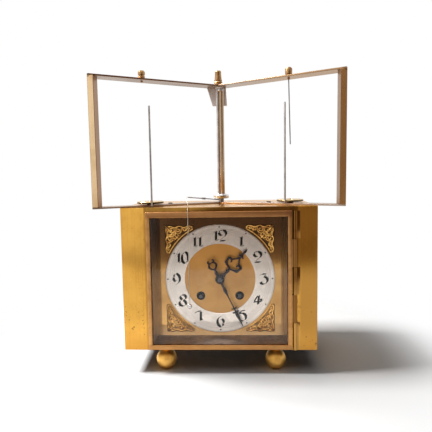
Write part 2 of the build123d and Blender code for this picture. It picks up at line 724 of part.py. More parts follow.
for name, place in (
    ("going_winding_arbor", going_barrel_at),
    ("strike_winding_arbor", strike_barrel_at),
):
    with BuildPart() as winding_arbor:
        turned_pieces(
            (place, RATCHET_DEPTH, arbor_end, BARREL_ARBOR_RADIUS),
            (place, arbor_end, pivot_end, BARREL_ARBOR_RADIUS),
        )
        with BuildSketch(facing(RATCHET_DEPTH)):
            with Locations(place):
                Rectangle(WINDING_SQUARE, WINDING_SQUARE)
        extrude(amount=RATCHET_DEPTH - WINDING_TIP)
        with BuildSketch(facing(RATCHET_DEPTH + RATCHET_THICKNESS)):
            ratchet = []
            for index in range(RATCHET_TEETH):
                start = index * 360 / RATCHET_TEETH
                ratchet.append(polar(RATCHET_RADIUS - RATCHET_TOOTH, start, place))
                ratchet.append(polar(RATCHET_RADIUS, start, place))
            with BuildLine():
                Polyline(*ratchet, close=True)
            make_face()
        extrude(amount=RATCHET_THICKNESS)
    finish(winding_arbor, name)

for name, place, click_pivot in (
    ("strike_click", strike_barrel_at, click_places[0]),
    ("going_click", going_barrel_at, click_places[1]),
):
    click_towards = bearing(click_pivot, place)
    click_reach = hypot(CLICK_X, CLICK_Z) - RATCHET_RADIUS - MOVING_GAP
    with BuildPart() as click:
        with BuildSketch(facing(RATCHET_DEPTH + RATCHET_THICKNESS)):
            with Locations(click_pivot):
                Circle(CLICK_RADIUS)
            with BuildLine():
                Polyline(
                    polar(CLICK_RADIUS, click_towards + 90, click_pivot),
                    polar(click_reach, click_towards, click_pivot),
                    polar(CLICK_RADIUS, click_towards - 90, click_pivot),
                    close=True,
                )
            make_face()
        extrude(amount=RATCHET_THICKNESS)
        with BuildSketch(facing(plate_inside)):
            with Locations(click_pivot):
                Circle(PIVOT_RADIUS)
        extrude(amount=plate_inside - RATCHET_DEPTH - RATCHET_THICKNESS)
    finish(click, name)

# ================================================================ going train
with BuildPart() as centre_wheel:
    toothed(arbor_start, GOING_WHEEL + GREAT_THICKNESS + END_SHAKE, CENTRE_LEAVES, great_module,
            gap_phase(CENTRE_LEAVES, bearing(centre, going_barrel_at)), centre)
    toothed(CENTRE_WHEEL, CENTRE_WHEEL + WHEEL_THICKNESS, CENTRE_TEETH, CENTRE_MODULE,
            bearing(centre, third_at), centre)
    turned_pieces(
        (centre, minute_front - HAND_NUT_LENGTH / 2, arbor_end, ARBOR_RADIUS),
        (centre, arbor_end, pivot_end, PIVOT_RADIUS),
    )
finish(centre_wheel, "centre_wheel")

with BuildPart() as third_wheel:
    toothed(CENTRE_WHEEL - END_SHAKE, CENTRE_WHEEL + WHEEL_THICKNESS + END_SHAKE, THIRD_LEAVES,
            CENTRE_MODULE, gap_phase(THIRD_LEAVES, bearing(third_at, centre)), third_at)
    toothed(THIRD_WHEEL, THIRD_WHEEL + WHEEL_THICKNESS, THIRD_TEETH, THIRD_MODULE,
            bearing(third_at, contrate_at), third_at)
    turned_pieces(
        (third_at, pivot_start, pivot_end, PIVOT_RADIUS),
        (third_at, arbor_start, arbor_end, TRAIN_ARBOR_RADIUS),
    )
finish(third_wheel, "third_wheel")

crown_pitch_depth = SPINDLE_DEPTH + CONTRATE_MODULE * SPINDLE_LEAVES / 2
crown_root = crown_pitch_depth + CONTRATE_MODULE * DEDENDUM
crown_tip = crown_pitch_depth - CONTRATE_MODULE * ADDENDUM
with BuildPart() as contrate_wheel:
    with BuildSketch(facing(crown_root + CROWN_BACK)):
        with Locations(contrate_at):
            Circle(contrate_radius + CONTRATE_RIM / 2)
            Circle(contrate_radius - CONTRATE_RIM / 2, mode=Mode.SUBTRACT)
    extrude(amount=CROWN_BACK)
    with BuildSketch(facing(crown_root + CROWN_BACK + WHEEL_THICKNESS)):
        with Locations(contrate_at):
            Circle(contrate_radius + CONTRATE_RIM / 2)
    extrude(amount=WHEEL_THICKNESS)
    with BuildSketch(facing(crown_root)):
        with Locations(contrate_at):
            with PolarLocations(contrate_radius, CONTRATE_TEETH, start_angle=90):
                Rectangle(CONTRATE_RIM, CONTRATE_MODULE * CROWN_TOOTH_SHARE * pi)
    extrude(amount=crown_root - crown_tip)
    toothed(THIRD_WHEEL - END_SHAKE, THIRD_WHEEL + WHEEL_THICKNESS + END_SHAKE, CONTRATE_LEAVES,
            THIRD_MODULE, gap_phase(CONTRATE_LEAVES, bearing(contrate_at, third_at)), contrate_at)
    turned_pieces(
        (contrate_at, pivot_start, pivot_end, PIVOT_RADIUS),
        (contrate_at, arbor_start, arbor_end, TRAIN_ARBOR_RADIUS),
    )
finish(contrate_wheel, "contrate_wheel")

crown_z = dial_z + contrate_at[1] + contrate_radius
pinion_half = SPINDLE_PINION / 2
cock_top = crown_z - pinion_half - END_SHAKE
with BuildPart() as spindle_cock:
    with BuildSketch(level(cock_top - COCK_THICKNESS)):
        with Locations((SPINDLE_X, (plate_inside + SPINDLE_DEPTH) / 2)):
            Rectangle(2 * COCK_END, SPINDLE_DEPTH - plate_inside)
        with Locations((SPINDLE_X, SPINDLE_DEPTH)):
            Circle(COCK_END)
            Circle(PIVOT_RADIUS + PIVOT_GAP, mode=Mode.SUBTRACT)
    extrude(amount=COCK_THICKNESS)
    with BuildSketch(facing(plate_inside + COCK_THICKNESS)):
        with Locations((SPINDLE_X, cock_top - dial_z - COCK_END)):
            Rectangle(2 * COCK_END, 2 * COCK_END)
    extrude(amount=COCK_THICKNESS)
finish(spindle_cock, "spindle_cock")

# ================================================================ striking train
with BuildPart() as pin_wheel:
    toothed(STRIKE_WHEEL - END_SHAKE, STRIKE_WHEEL + GREAT_THICKNESS + END_SHAKE, STRIKE_LEAVES,
            STRIKE_MODULE, gap_phase(STRIKE_LEAVES, bearing(pin_at, strike_barrel_at)), pin_at)
    toothed(PIN_WHEEL, PIN_WHEEL + WHEEL_THICKNESS, PIN_TEETH, PIN_MODULE,
            bearing(pin_at, fly_at), pin_at)
    with BuildSketch(facing(PIN_WHEEL + WHEEL_THICKNESS + LIFT_PIN_LENGTH)):
        with Locations(pin_at):
            with PolarLocations(LIFT_PIN_CIRCLE, LIFT_PINS):
                Circle(LIFT_PIN_RADIUS)
    extrude(amount=LIFT_PIN_LENGTH)
    turned_pieces(
        (pin_at, pivot_start, pivot_end, PIVOT_RADIUS),
        (pin_at, arbor_start, arbor_end, TRAIN_ARBOR_RADIUS),
    )
finish(pin_wheel, "pin_wheel")

with BuildPart() as fly:
    toothed(PIN_WHEEL - END_SHAKE, PIN_WHEEL + WHEEL_THICKNESS + END_SHAKE, FLY_LEAVES, PIN_MODULE,
            gap_phase(FLY_LEAVES, bearing(fly_at, pin_at)), fly_at)
    with BuildSketch(facing(FLY_DEPTH + FLY_WIDTH)):
        with Locations(fly_at):
            Rectangle(2 * FLY_REACH, FLY_THICKNESS)
    extrude(amount=FLY_WIDTH)
    turned_pieces(
        (fly_at, pivot_start, pivot_end, PIVOT_RADIUS),
        (fly_at, arbor_start, arbor_end, TRAIN_ARBOR_RADIUS),
    )
finish(fly, "fly")

head_at = (hammer_at[0] + HAMMER_ARM_X, hammer_at[1] + HAMMER_ARM_Z)
arm_bearing = bearing(hammer_at, head_at)
tail_bearing = bearing(hammer_at, pin_at)
tail_reach = (
    hypot(pin_at[0] - hammer_at[0], pin_at[1] - hammer_at[1])
    - LIFT_PIN_CIRCLE - LIFT_PIN_RADIUS - MOVING_GAP
)
pin_tips = PIN_WHEEL + WHEEL_THICKNESS + LIFT_PIN_LENGTH
with BuildPart() as hammer:
    turned_pieces((hammer_at, pivot_start, hammer_front + HAMMER_ARM_WIDTH, ARBOR_RADIUS))
    for back, reach, direction in (
        (hammer_front + HAMMER_ARM_WIDTH, hypot(HAMMER_ARM_X, HAMMER_ARM_Z), arm_bearing),
        (pin_tips, tail_reach, tail_bearing),
    ):
        with BuildSketch(facing(back)):
            with BuildLine():
                Polyline(
                    polar(HAMMER_ARM_WIDTH, direction + 90, hammer_at),
                    polar(HAMMER_ARM_WIDTH, direction - 90, hammer_at),
                    polar(
                        HAMMER_ARM_WIDTH / 2, direction - 90, polar(reach, direction, hammer_at)
                    ),
                    polar(
                        HAMMER_ARM_WIDTH / 2, direction + 90, polar(reach, direction, hammer_at)
                    ),
                    close=True,
                )
            make_face()
        extrude(amount=HAMMER_ARM_WIDTH)
    with BuildSketch(level(dial_z + head_at[1] - HAMMER_HEAD_LENGTH / 2)):
        with Locations((head_at[0], hammer_front + HAMMER_ARM_WIDTH / 2)):
            Circle(HAMMER_HEAD_RADIUS)
    extrude(amount=HAMMER_HEAD_LENGTH)
finish(hammer, "hammer")

gong_depth = hammer_front + HAMMER_ARM_WIDTH / 2
gong_z = head_at[1] - HAMMER_HEAD_LENGTH / 2 - HAMMER_LIFT_GAP - GONG_RADIUS
gong_end = Plane(origin=(GONG_BLOCK_X, front_y + gong_depth, dial_z + gong_z), z_dir=(1, 0, 0))
block_height = gong_z + 2 * GONG_RADIUS + GONG_BLOCK_CAP - inner_base
with BuildPart() as gong:
    with BuildSketch(level(dial_z + inner_base)):
        with Locations((GONG_BLOCK_X + GONG_BLOCK_WIDTH / 2, gong_depth)):
            Rectangle(GONG_BLOCK_WIDTH, GONG_BLOCK_WIDTH)
    extrude(amount=block_height)
    with BuildSketch(gong_end):
        Circle(GONG_RADIUS + FIT)
    extrude(amount=GONG_BLOCK_WIDTH, mode=Mode.SUBTRACT)
    with BuildSketch(gong_end):
        Circle(GONG_RADIUS)
    extrude(amount=GONG_BLOCK_WIDTH + GONG_LENGTH)
finish(gong, "gong")

# ================================================================ motion work and hands
with BuildPart() as cannon_pinion:
    toothed(cannon_front, cannon_back, CANNON_LEAVES, MOTION_MODULE,
            gap_phase(CANNON_LEAVES, bearing(centre, minute_at)), centre,
            ARBOR_RADIUS + PIVOT_GAP)
    with BuildSketch(facing(cannon_front)):
        Circle(CANNON_RADIUS)
        Circle(ARBOR_RADIUS + PIVOT_GAP, mode=Mode.SUBTRACT)
    extrude(amount=cannon_front - minute_front)
finish(cannon_pinion, "cannon_pinion")

with BuildPart() as minute_wheel:
    toothed(cannon_front + MOVING_GAP, cannon_front + MOVING_GAP + WHEEL_THICKNESS, MINUTE_TEETH,
            MOTION_MODULE, bearing(minute_at, centre), minute_at, PIVOT_RADIUS + PIVOT_GAP)
    toothed(hour_wheel_front, cannon_front + MOVING_GAP,
            HOUR_LEAVES, hour_module, gap_phase(HOUR_LEAVES, bearing(minute_at, centre)),
            minute_at, PIVOT_RADIUS + PIVOT_GAP)
finish(minute_wheel, "minute_wheel")

with BuildPart() as hour_wheel:
    toothed(hour_wheel_front, hour_wheel_back, HOUR_TEETH, hour_module,
            bearing(centre, minute_at), centre, CANNON_RADIUS + PIVOT_GAP)
    with BuildSketch(facing(hour_wheel_front)):
        Circle(HOUR_PIPE_RADIUS)
        Circle(CANNON_RADIUS + PIVOT_GAP, mode=Mode.SUBTRACT)
    extrude(amount=hour_wheel_front - hour_front)
finish(hour_wheel, "hour_wheel")

with BuildPart() as hour_hand:
    with BuildSketch(turned(hour_back, HOUR_ANGLE)):
        with BuildLine():
            Polyline(
                (-HOUR_STEM, -HOUR_TAIL),
                (HOUR_STEM, -HOUR_TAIL),
                (HOUR_STEM, HOUR_WAIST),
                (HOUR_LOBE, HOUR_LOBE_AT),
                (HOUR_STEM, HOUR_LOBE_AT + HOUR_LOBE),
                (0, HOUR_LENGTH),
                (-HOUR_STEM, HOUR_LOBE_AT + HOUR_LOBE),
                (-HOUR_LOBE, HOUR_LOBE_AT),
                (-HOUR_STEM, HOUR_WAIST),
                close=True,
            )
        make_face()
        Circle(HOUR_BOSS)
        Circle(HOUR_PIPE_RADIUS + FIT, mode=Mode.SUBTRACT)
    extrude(amount=HAND_THICKNESS)
finish(hour_hand, "hour_hand")

with BuildPart() as minute_hand:
    with BuildSketch(turned(minute_back, MINUTE_ANGLE)):
        with BuildLine():
            Polyline(
                (-MINUTE_TAIL_WIDTH, -MINUTE_TAIL),
                (MINUTE_TAIL_WIDTH, -MINUTE_TAIL),
                (MINUTE_STEM, 0),
                (MINUTE_STEM, MINUTE_CROSS_AT - MINUTE_CROSS),
                (MINUTE_CROSS, MINUTE_CROSS_AT),
                (0, MINUTE_LENGTH),
                (-MINUTE_CROSS, MINUTE_CROSS_AT),
                (-MINUTE_STEM, MINUTE_CROSS_AT - MINUTE_CROSS),
                (-MINUTE_STEM, 0),
                close=True,
            )
        make_face()
        Circle(MINUTE_BOSS)
        Circle(CANNON_RADIUS + FIT, mode=Mode.SUBTRACT)
    extrude(amount=HAND_THICKNESS)
finish(minute_hand, "minute_hand")

with BuildPart() as hand_nut:
    with BuildSketch(facing(minute_front)):
        Circle(HAND_NUT_RADIUS)
        Circle(ARBOR_RADIUS + PIVOT_GAP, mode=Mode.SUBTRACT)
    extrude(amount=HAND_NUT_LENGTH)
finish(hand_nut, "hand_nut")

# ================================================================ upper frame
frame_top = case_top + FRAME_HEIGHT
frame_underside = frame_top - STRIP_THICKNESS
upright_base = case_top + STRIP_THICKNESS
disc_bottom = case_top + DISC_RISE
disc_top = disc_bottom + DISC_THICKNESS
upright_x = STRIP_REACH - UPRIGHT_WIDTH / 2
knob_places = [(-KNOB_LEFT_X, strip_middle(KNOB_LEFT_X)), (KNOB_RIGHT_X, strip_middle(KNOB_RIGHT_X))]
finial_at = (0, STRIP_APEX + STRIP_DEPTH / 2)
disc_places = [
    (-DISC_LEFT_X, strip_middle(DISC_LEFT_X) + DISC_LEFT_SET),
    (DISC_RIGHT_X, strip_middle(DISC_RIGHT_X) + DISC_RIGHT_SET),
]

for name, side, bottom in (
    ("lower_strip_left", -1, case_top),
    ("lower_strip_right", 1, case_top),
    ("upper_strip_left", -1, frame_underside),
    ("upper_strip_right", 1, frame_underside),
):
    with BuildPart() as strip:
        with BuildSketch(level(bottom)):
            with BuildLine():
                Polyline(
                    (0, STRIP_APEX),
                    (side * STRIP_REACH, STRIP_TIP),
                    (side * STRIP_REACH, STRIP_TIP + STRIP_DEPTH),
                    (0, STRIP_APEX + STRIP_DEPTH),
                    close=True,
                )
            make_face()
            if bottom == case_top:
                with Locations((SPINDLE_X, SPINDLE_DEPTH)):
                    Circle(ARBOR_RADIUS + MOVING_GAP, mode=Mode.SUBTRACT)
                with Locations(*frame_screw_places, *disc_places):
                    Circle(SCREW_RADIUS / 2 + FIT, mode=Mode.SUBTRACT)
            else:
                with Locations(finial_at):
                    Circle(SCREW_RADIUS / 2 + FIT, mode=Mode.SUBTRACT)
                with Locations(*knob_places):
                    Circle(SCREW_RADIUS / 2 + PIVOT_GAP, mode=Mode.SUBTRACT)
        extrude(amount=STRIP_THICKNESS)
    finish(strip, name)

for name, side in (("upright_left", -1), ("upright_right", 1)):
    with BuildPart() as upright:
        with BuildSketch(level(upright_base)):
            with Locations((side * upright_x, STRIP_TIP + UPRIGHT_DEPTH / 2)):
                Rectangle(UPRIGHT_WIDTH, UPRIGHT_DEPTH)
        extrude(amount=frame_underside - upright_base)
    finish(upright, name)

with BuildPart() as frame_screws:
    with BuildSketch(level(upright_base)):
        with Locations(*frame_screw_places):
            Circle(SCREW_RADIUS)
    extrude(amount=SCREW_HEAD)
    with BuildSketch(level(case_top - SLAB)):
        with Locations(*frame_screw_places):
            Circle(SCREW_RADIUS / 2)
    extrude(amount=SLAB + STRIP_THICKNESS)
    with BuildSketch(level(case_top)):
        with Locations(*disc_places):
            Circle(SCREW_RADIUS / 2)
    extrude(amount=disc_top + DISC_SHAKE + SCREW_HEAD / 2 - case_top)
    with BuildSketch(level(upright_base)):
        with Locations(*disc_places):
            Circle(DISC_WASHER)
    extrude(amount=disc_bottom - DISC_SHAKE - upright_base)
    with BuildSketch(level(disc_top + DISC_SHAKE)):
        with Locations(*disc_places):
            Circle(SCREW_RADIUS)
    extrude(amount=SCREW_HEAD / 2)
finish(frame_screws, "frame_screws")

with BuildPart() as finial:
    with BuildSketch(Plane(origin=(0, front_y + finial_at[1], frame_top), z_dir=(0, -1, 0),
                           x_dir=(1, 0, 0))):
        with BuildLine():
            Polyline(
                (0, -STRIP_THICKNESS - BRACKET_FLANGE),
                (SCREW_RADIUS / 2, -STRIP_THICKNESS - BRACKET_FLANGE),
                (SCREW_RADIUS / 2, 0),
                (FINIAL_RADIUS, 0),
                (FINIAL_RADIUS, FINIAL_BASE),
                (FINIAL_NECK, FINIAL_BASE + FINIAL_COVE),
                (FINIAL_NECK, FINIAL_BASE + 2 * FINIAL_COVE),
                (FINIAL_BELLY, FINIAL_BASE + 3.5 * FINIAL_COVE),
                (FINIAL_TIP, FINIAL_HEIGHT - FINIAL_COVE),
                (FINIAL_TIP - FINIAL_COVE, FINIAL_HEIGHT),
                (0, FINIAL_HEIGHT),
                close=True,
            )
        make_face()
    revolve(axis=Axis((0, front_y + finial_at[1], frame_top), (0, 0, 1)))
finish(finial, "finial")

bracket_top = frame_underside - dial_z
bracket_front = SPINDLE_DEPTH + SPINDLE_RADIUS + BRACKET_GAP
with BuildPart() as bracket:
    with BuildSketch(facing(bracket_front + BRACKET_THICKNESS)):
        with BuildLine():
            Polyline(
                (BRACKET_TOP_X - BRACKET_TOP_WIDTH / 2, bracket_top),
                (BRACKET_TOP_X + BRACKET_TOP_WIDTH / 2, bracket_top),
                (BRACKET_BOTTOM_X + BRACKET_BOTTOM_WIDTH / 2, bracket_top - BRACKET_DROP),
                (BRACKET_BOTTOM_X - BRACKET_BOTTOM_WIDTH / 2, bracket_top - BRACKET_DROP),
                close=True,
            )
        make_face()
    extrude(amount=BRACKET_THICKNESS)
    with BuildSketch(level(frame_underside - BRACKET_FLANGE)):
        with Locations((SPINDLE_X, bracket_front + BRACKET_THICKNESS - BRACKET_FLANGE_DEPTH / 2)):
            Rectangle(2 * SPINDLE_RADIUS, BRACKET_FLANGE_DEPTH)
        with Locations((SPINDLE_X, SPINDLE_DEPTH)):
            Circle(PIVOT_RADIUS + PIVOT_GAP, mode=Mode.SUBTRACT)
        with Locations(finial_at):
            Circle(SCREW_RADIUS / 2 + FIT, mode=Mode.SUBTRACT)
    extrude(amount=BRACKET_FLANGE)
finish(bracket, "bracket")

# ================================================================ spindle and arm
column_base = case_top + SPINDLE_BASE
column_top = frame_underside - BRACKET_FLANGE - END_SHAKE


def upright_pieces(*sections):
    """Round sections about the spindle's axis as (bottom, top, radius)."""
    for bottom, top, radius in sections:
        with BuildSketch(level(bottom)) as section:
            with Locations((SPINDLE_X, SPINDLE_DEPTH)):
                Circle(radius)
        extrude(section.sketch, amount=top - bottom)


with BuildPart() as spindle_arbor:
    with BuildSketch(level(crown_z - pinion_half)):
        with BuildLine():
            Polyline(
                *gear_outline(SPINDLE_LEAVES, CONTRATE_MODULE, gap_phase(SPINDLE_LEAVES, 90),
                              (SPINDLE_X, SPINDLE_DEPTH)),
                close=True,
            )
        make_face()
    extrude(amount=SPINDLE_PINION)
    upright_pieces(
        (cock_top - COCK_THICKNESS, crown_z - pinion_half, PIVOT_RADIUS),
        (crown_z + pinion_half, column_base + SPINDLE_SOCKET, ARBOR_RADIUS),
    )
finish(spindle_arbor, "spindle_arbor")

with BuildPart() as spindle_column:
    upright_pieces(
        (column_base, column_top, SPINDLE_RADIUS),
        (column_top, frame_underside - END_SHAKE, PIVOT_RADIUS),
    )
    with BuildSketch(level(column_base)):
        with Locations((SPINDLE_X, SPINDLE_DEPTH)):
            Circle(ARBOR_RADIUS + FIT)
    extrude(amount=SPINDLE_SOCKET, mode=Mode.SUBTRACT)
finish(spindle_column, "spindle_column")

with BuildPart() as spindle_collar:
    with BuildSketch(level(case_top + COLLAR_BASE)):
        with Locations((SPINDLE_X, SPINDLE_DEPTH)):
            Circle(COLLAR_RADIUS)
            Circle(ARBOR_RADIUS + FIT, mode=Mode.SUBTRACT)
    extrude(amount=SPINDLE_BASE - COLLAR_BASE)
finish(spindle_collar, "spindle_collar")

arm_hub = Vector(SPINDLE_X, front_y + SPINDLE_DEPTH, case_top + ARM_RISE)
arm_tip = Vector(
    *polar(ARM_REACH - ARM_EYE, ARM_ANGLE, (SPINDLE_X, front_y + SPINDLE_DEPTH)),
    case_top + ARM_TIP_RISE,
)
arm_line = arm_tip - arm_hub
arm_direction = arm_line.normalized()
hub_bottom = case_top + STRIP_THICKNESS + MOVING_GAP


def along_arm(distance):
    """Plane across the arm at a distance from the spindle's axis."""
    return Plane(origin=arm_hub + arm_direction * distance, z_dir=arm_direction)


with BuildPart() as arm:
    with BuildSketch(level(hub_bottom)):
        with Locations((SPINDLE_X, SPINDLE_DEPTH)):
            Circle(ARM_HUB)
    extrude(amount=case_top + COLLAR_BASE - hub_bottom)
    with BuildSketch(along_arm(ARM_HUB / 2)):
        Circle(ARM_RADIUS)
    extrude(amount=arm_line.length - ARM_HUB / 2)
    with BuildSketch(along_arm(ARM_SLEEVE_AT)):
        Circle(ARM_SLEEVE_RADIUS)
    extrude(amount=ARM_SLEEVE_LENGTH)
    with BuildSketch(Plane(origin=arm_tip - Vector(0, 0, ARM_EYE))):
        Circle(ARM_EYE)
    extrude(amount=2 * ARM_EYE)
    with BuildSketch(level(hub_bottom)):
        with Locations((SPINDLE_X, SPINDLE_DEPTH)):
            Circle(ARBOR_RADIUS + FIT)
    extrude(amount=case_top + COLLAR_BASE - hub_bottom, mode=Mode.SUBTRACT)
finish(arm, "arm")

# ================================================================ thread and bob
thread_start = polar(ARM_REACH + THREAD_RADIUS + MOVING_GAP, ARM_ANGLE, (SPINDLE_X, SPINDLE_DEPTH))
thread_hang = -DOOR_GAP - DOOR_THICKNESS - THREAD_RADIUS - THREAD_SEAT
bob_top = dial_z + BOB_Z + BOB_RADIUS
thread_route = [
    (thread_start[0], front_y + thread_start[1], case_top + ARM_TIP_RISE),
    (THREAD_X, front_y - THREAD_SEAT, case_top + THREAD_RADIUS + 2 * THREAD_SEAT),
    (THREAD_X, front_y + thread_hang, dial_z + DOOR_TOP + THREAD_RADIUS + THREAD_SEAT),
    (THREAD_X, front_y + thread_hang, bob_top),
]
with BuildPart() as thread:
    with BuildLine() as thread_path:
        FilletPolyline(*thread_route, radius=[THREAD_BEND, THREAD_BEND])
    thread_line = thread_path.wire()
    with BuildSketch(Plane(origin=thread_line @ 0, z_dir=thread_line % 0)):
        Circle(THREAD_RADIUS)
    sweep(path=thread_line)
finish(thread, "thread")
print("thread radii", [THREAD_BEND, THREAD_BEND], "length", round(thread_line.length, 2))
print("thread volume", round(thread.part.volume, 3), "expected",
      round(pi * THREAD_RADIUS**2 * thread_line.length, 3))

with BuildPart() as bob:
    with Locations((THREAD_X, front_y + thread_hang, dial_z + BOB_Z)):
        Sphere(BOB_RADIUS)
finish(bob, "bob")

# ================================================================ adjusting discs with their posts
for name, place, post_x, post_foot in (
    ("left", disc_places[0], -POST_X, POST_LEFT_FOOT),
    ("right", disc_places[1], POST_X, POST_RIGHT_FOOT),
):
    post_at = (post_x, place[1] - sqrt(DISC_RADIUS**2 - (post_x - place[0])**2))
    with BuildPart() as disc:
        with BuildSketch(level(disc_bottom)):
            with Locations(place):
                Circle(DISC_RADIUS)
                Circle(SCREW_RADIUS / 2 + PIVOT_GAP, mode=Mode.SUBTRACT)
            with Locations(post_at):
                Circle(POST_RADIUS + FIT, mode=Mode.SUBTRACT)
        extrude(amount=DISC_THICKNESS)
    finish(disc, f"disc_{name}")
    with BuildPart() as post:
        with BuildSketch(level(case_top + post_foot)):
            with Locations(post_at):
                Circle(POST_RADIUS)
        extrude(amount=POST_TOP - post_foot)
    finish(post, f"post_{name}")

# ================================================================ knobs on the upper strips
for name, place, collar_radius, knob_bottom, knob_top in (
    ("left", knob_places[0], KNOB_COLLAR, KNOB_LEFT_BOTTOM, KNOB_LEFT_TOP),
    ("right", knob_places[1], KNOB_FLARE, KNOB_RIGHT_BOTTOM, KNOB_RIGHT_TOP),
):
    with BuildPart() as knob:
        for bottom, top, radius in (
            (frame_underside - KNOB_SCREW - case_top, FRAME_HEIGHT + DISC_SHAKE, SCREW_RADIUS / 2),
            (FRAME_HEIGHT + DISC_SHAKE, knob_bottom, collar_radius),
            (knob_bottom, knob_top, KNOB_RADIUS),
        ):
            with BuildSketch(level(case_top + bottom)):
                with Locations(place):
                    Circle(radius)
            extrude(amount=top - bottom)
    finish(knob, f"knob_{name}")

wire_top = Vector(knob_places[1][0], front_y + knob_places[1][1], frame_underside - KNOB_SCREW)
wire_direction = Vector(WIRE_LEAN, 0, -WIRE_LENGTH).normalized()
with BuildPart() as guard_wire:
    with BuildSketch(Plane(origin=wire_top, z_dir=wire_direction)):
        Circle(WIRE_RADIUS)
    extrude(amount=WIRE_LENGTH)
finish(guard_wire, "guard_wire")
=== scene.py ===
"""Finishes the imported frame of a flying-pendulum table clock: brushed brass case, glazed door,
silvered dial, pierced hands, cast corner ornaments, turned feet and the open frame on top."""
import random
from math import cos, hypot, pi, radians, sin, tau

import bmesh
import bpy
from mathutils import Matrix, Vector


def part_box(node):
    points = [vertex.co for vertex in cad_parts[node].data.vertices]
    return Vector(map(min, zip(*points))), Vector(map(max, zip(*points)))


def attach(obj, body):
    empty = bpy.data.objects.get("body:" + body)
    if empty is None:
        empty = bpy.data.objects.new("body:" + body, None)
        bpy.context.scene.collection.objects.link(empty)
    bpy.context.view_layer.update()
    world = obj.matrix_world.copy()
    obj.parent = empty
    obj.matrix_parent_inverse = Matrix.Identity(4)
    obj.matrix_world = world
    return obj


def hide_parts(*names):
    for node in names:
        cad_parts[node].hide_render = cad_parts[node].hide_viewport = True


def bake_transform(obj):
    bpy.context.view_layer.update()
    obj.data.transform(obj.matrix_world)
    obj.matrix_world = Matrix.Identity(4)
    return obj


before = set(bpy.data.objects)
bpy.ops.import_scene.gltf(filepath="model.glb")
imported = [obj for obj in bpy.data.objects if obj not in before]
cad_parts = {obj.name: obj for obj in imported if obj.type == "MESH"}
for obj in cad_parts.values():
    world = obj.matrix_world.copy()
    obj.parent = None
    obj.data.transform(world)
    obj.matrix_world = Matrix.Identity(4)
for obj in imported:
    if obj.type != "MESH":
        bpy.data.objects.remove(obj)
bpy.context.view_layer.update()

bl_info = {
    "name": "Flying-pendulum clock finish",
    "version": (1, 0, 0),
    "blender": (4, 5, 0),
    "location": "3D View > Sidebar > Clock",
    "description": "Models and colours the visible pieces of a brass table clock",
    "category": "Object",
}

MM = 0.001
X, Y, Z = Vector((1, 0, 0)), Vector((0, 1, 0)), Vector((0, 0, 1))
CASE_LOW, CASE_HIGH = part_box("front_plate")
RING_LOW, RING_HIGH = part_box("chapter_ring")
FRONT_Y = CASE_LOW.y                        # outer face of the front plate
DIAL_Z = (RING_LOW.z + RING_HIGH.z) / 2     # dial centre above the table
CASE_TOP = (CASE_HIGH.z - DIAL_Z) / MM      # heights from the dial centre and depths from the
RING_FACE = (RING_LOW.y - FRONT_Y) / MM     # case front, these and all below in millimetres
PLATE_FACE = (RING_HIGH.y - FRONT_Y) / MM
FRAME_TOP = (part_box("upper_strip_left")[1].z - DIAL_Z) / MM
RING_BORE = 35.4
HAND_FLATNESS = 0.36                        # thickness of a hand against the width of its strokes
HAIRLINE = 0.17                             # half the width of a pen's thinnest stroke
DOOR_SIDE = 69.2                            # about where the front door ends, left and right
UPRIGHT_FRONT = (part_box("upright_left")[0].y - FRONT_Y) / MM
RING_TILT = 6.4                             # how far the lower margins of the ring and the dial
PLATE_TILT = 6.8                            # plate seem to come forward, which brightens them
WELD = 2e-6                                 # corners closer than this, in metres, are merged
INK_WELD = 1e-7                             # and corners of painted strokes


def at(x, depth, z):
    """Point in metres from millimetres across, behind the case front and above the dial centre."""
    return Vector((x * MM, FRONT_Y + depth * MM, DIAL_Z + z * MM))


def above(node, height):
    """Point over the middle of a CAD piece, at a height above the dial centre."""
    low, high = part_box(node)
    return Vector(((low.x + high.x) / 2, (low.y + high.y) / 2, DIAL_Z + height * MM))


def standing(node):
    """Middle of a CAD piece's footprint, and the piece's height in millimetres."""
    low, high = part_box(node)
    return Vector(((low.x + high.x) / 2, (low.y + high.y) / 2, low.z)), (high.z - low.z) / MM


# ---------------------------------------------------------------- selection and edit mode
def only(*pieces):
    """Selects these pieces and nothing else."""
    bpy.ops.object.select_all(action="DESELECT")
    for piece in pieces:
        piece.select_set(True)
    bpy.context.view_layer.objects.active = pieces[0]


class Editing:
    """Edit mode on one piece, with nothing selected in it at first."""

    def __init__(self, piece, mode="FACE"):
        self.piece = piece
        self.mode = mode

    def __enter__(self):
        only(self.piece)
        bpy.ops.object.mode_set(mode="EDIT")
        bpy.ops.mesh.select_mode(type=self.mode)
        bpy.ops.mesh.select_all(action="DESELECT")
        return self

    def __exit__(self, *problem):
        bpy.ops.object.mode_set(mode="OBJECT")

    def pick(self, test):
        """Selects the faces or edges for which the test is true."""
        shape = bmesh.from_edit_mesh(self.piece.data)
        for part in shape.faces if self.mode == "FACE" else shape.edges:
            part.select_set(bool(test(part)))
        bmesh.update_edit_mesh(self.piece.data)

    def face_outwards(self):
        """Selects everything and turns all faces outwards."""
        bpy.ops.mesh.select_all(action="SELECT")
        bpy.ops.mesh.normals_make_consistent(inside=False)

    def note_narrow(self, name, width):
        """Writes 1 in a face attribute for faces narrower than this, which a finish can read."""
        shape = bmesh.from_edit_mesh(self.piece.data)
        note = shape.faces.layers.float.new(name)
        for face in shape.faces:
            longest = max(edge.calc_length() for edge in face.edges)
            face[note] = float(face.calc_area() < longest * width * MM)
        bmesh.update_edit_mesh(self.piece.data)


def named(name):
    """Names the primitive that was just added and fixes its place in its mesh."""
    piece = bpy.context.object
    piece.name = name
    piece.data.name = name
    only(piece)
    bpy.ops.object.transform_apply(location=True, rotation=True, scale=True)
    return piece


def linked(name, data):
    """Adds an object with this data to the scene."""
    thing = bpy.data.objects.new(name, data)
    bpy.context.scene.collection.objects.link(thing)
    return thing


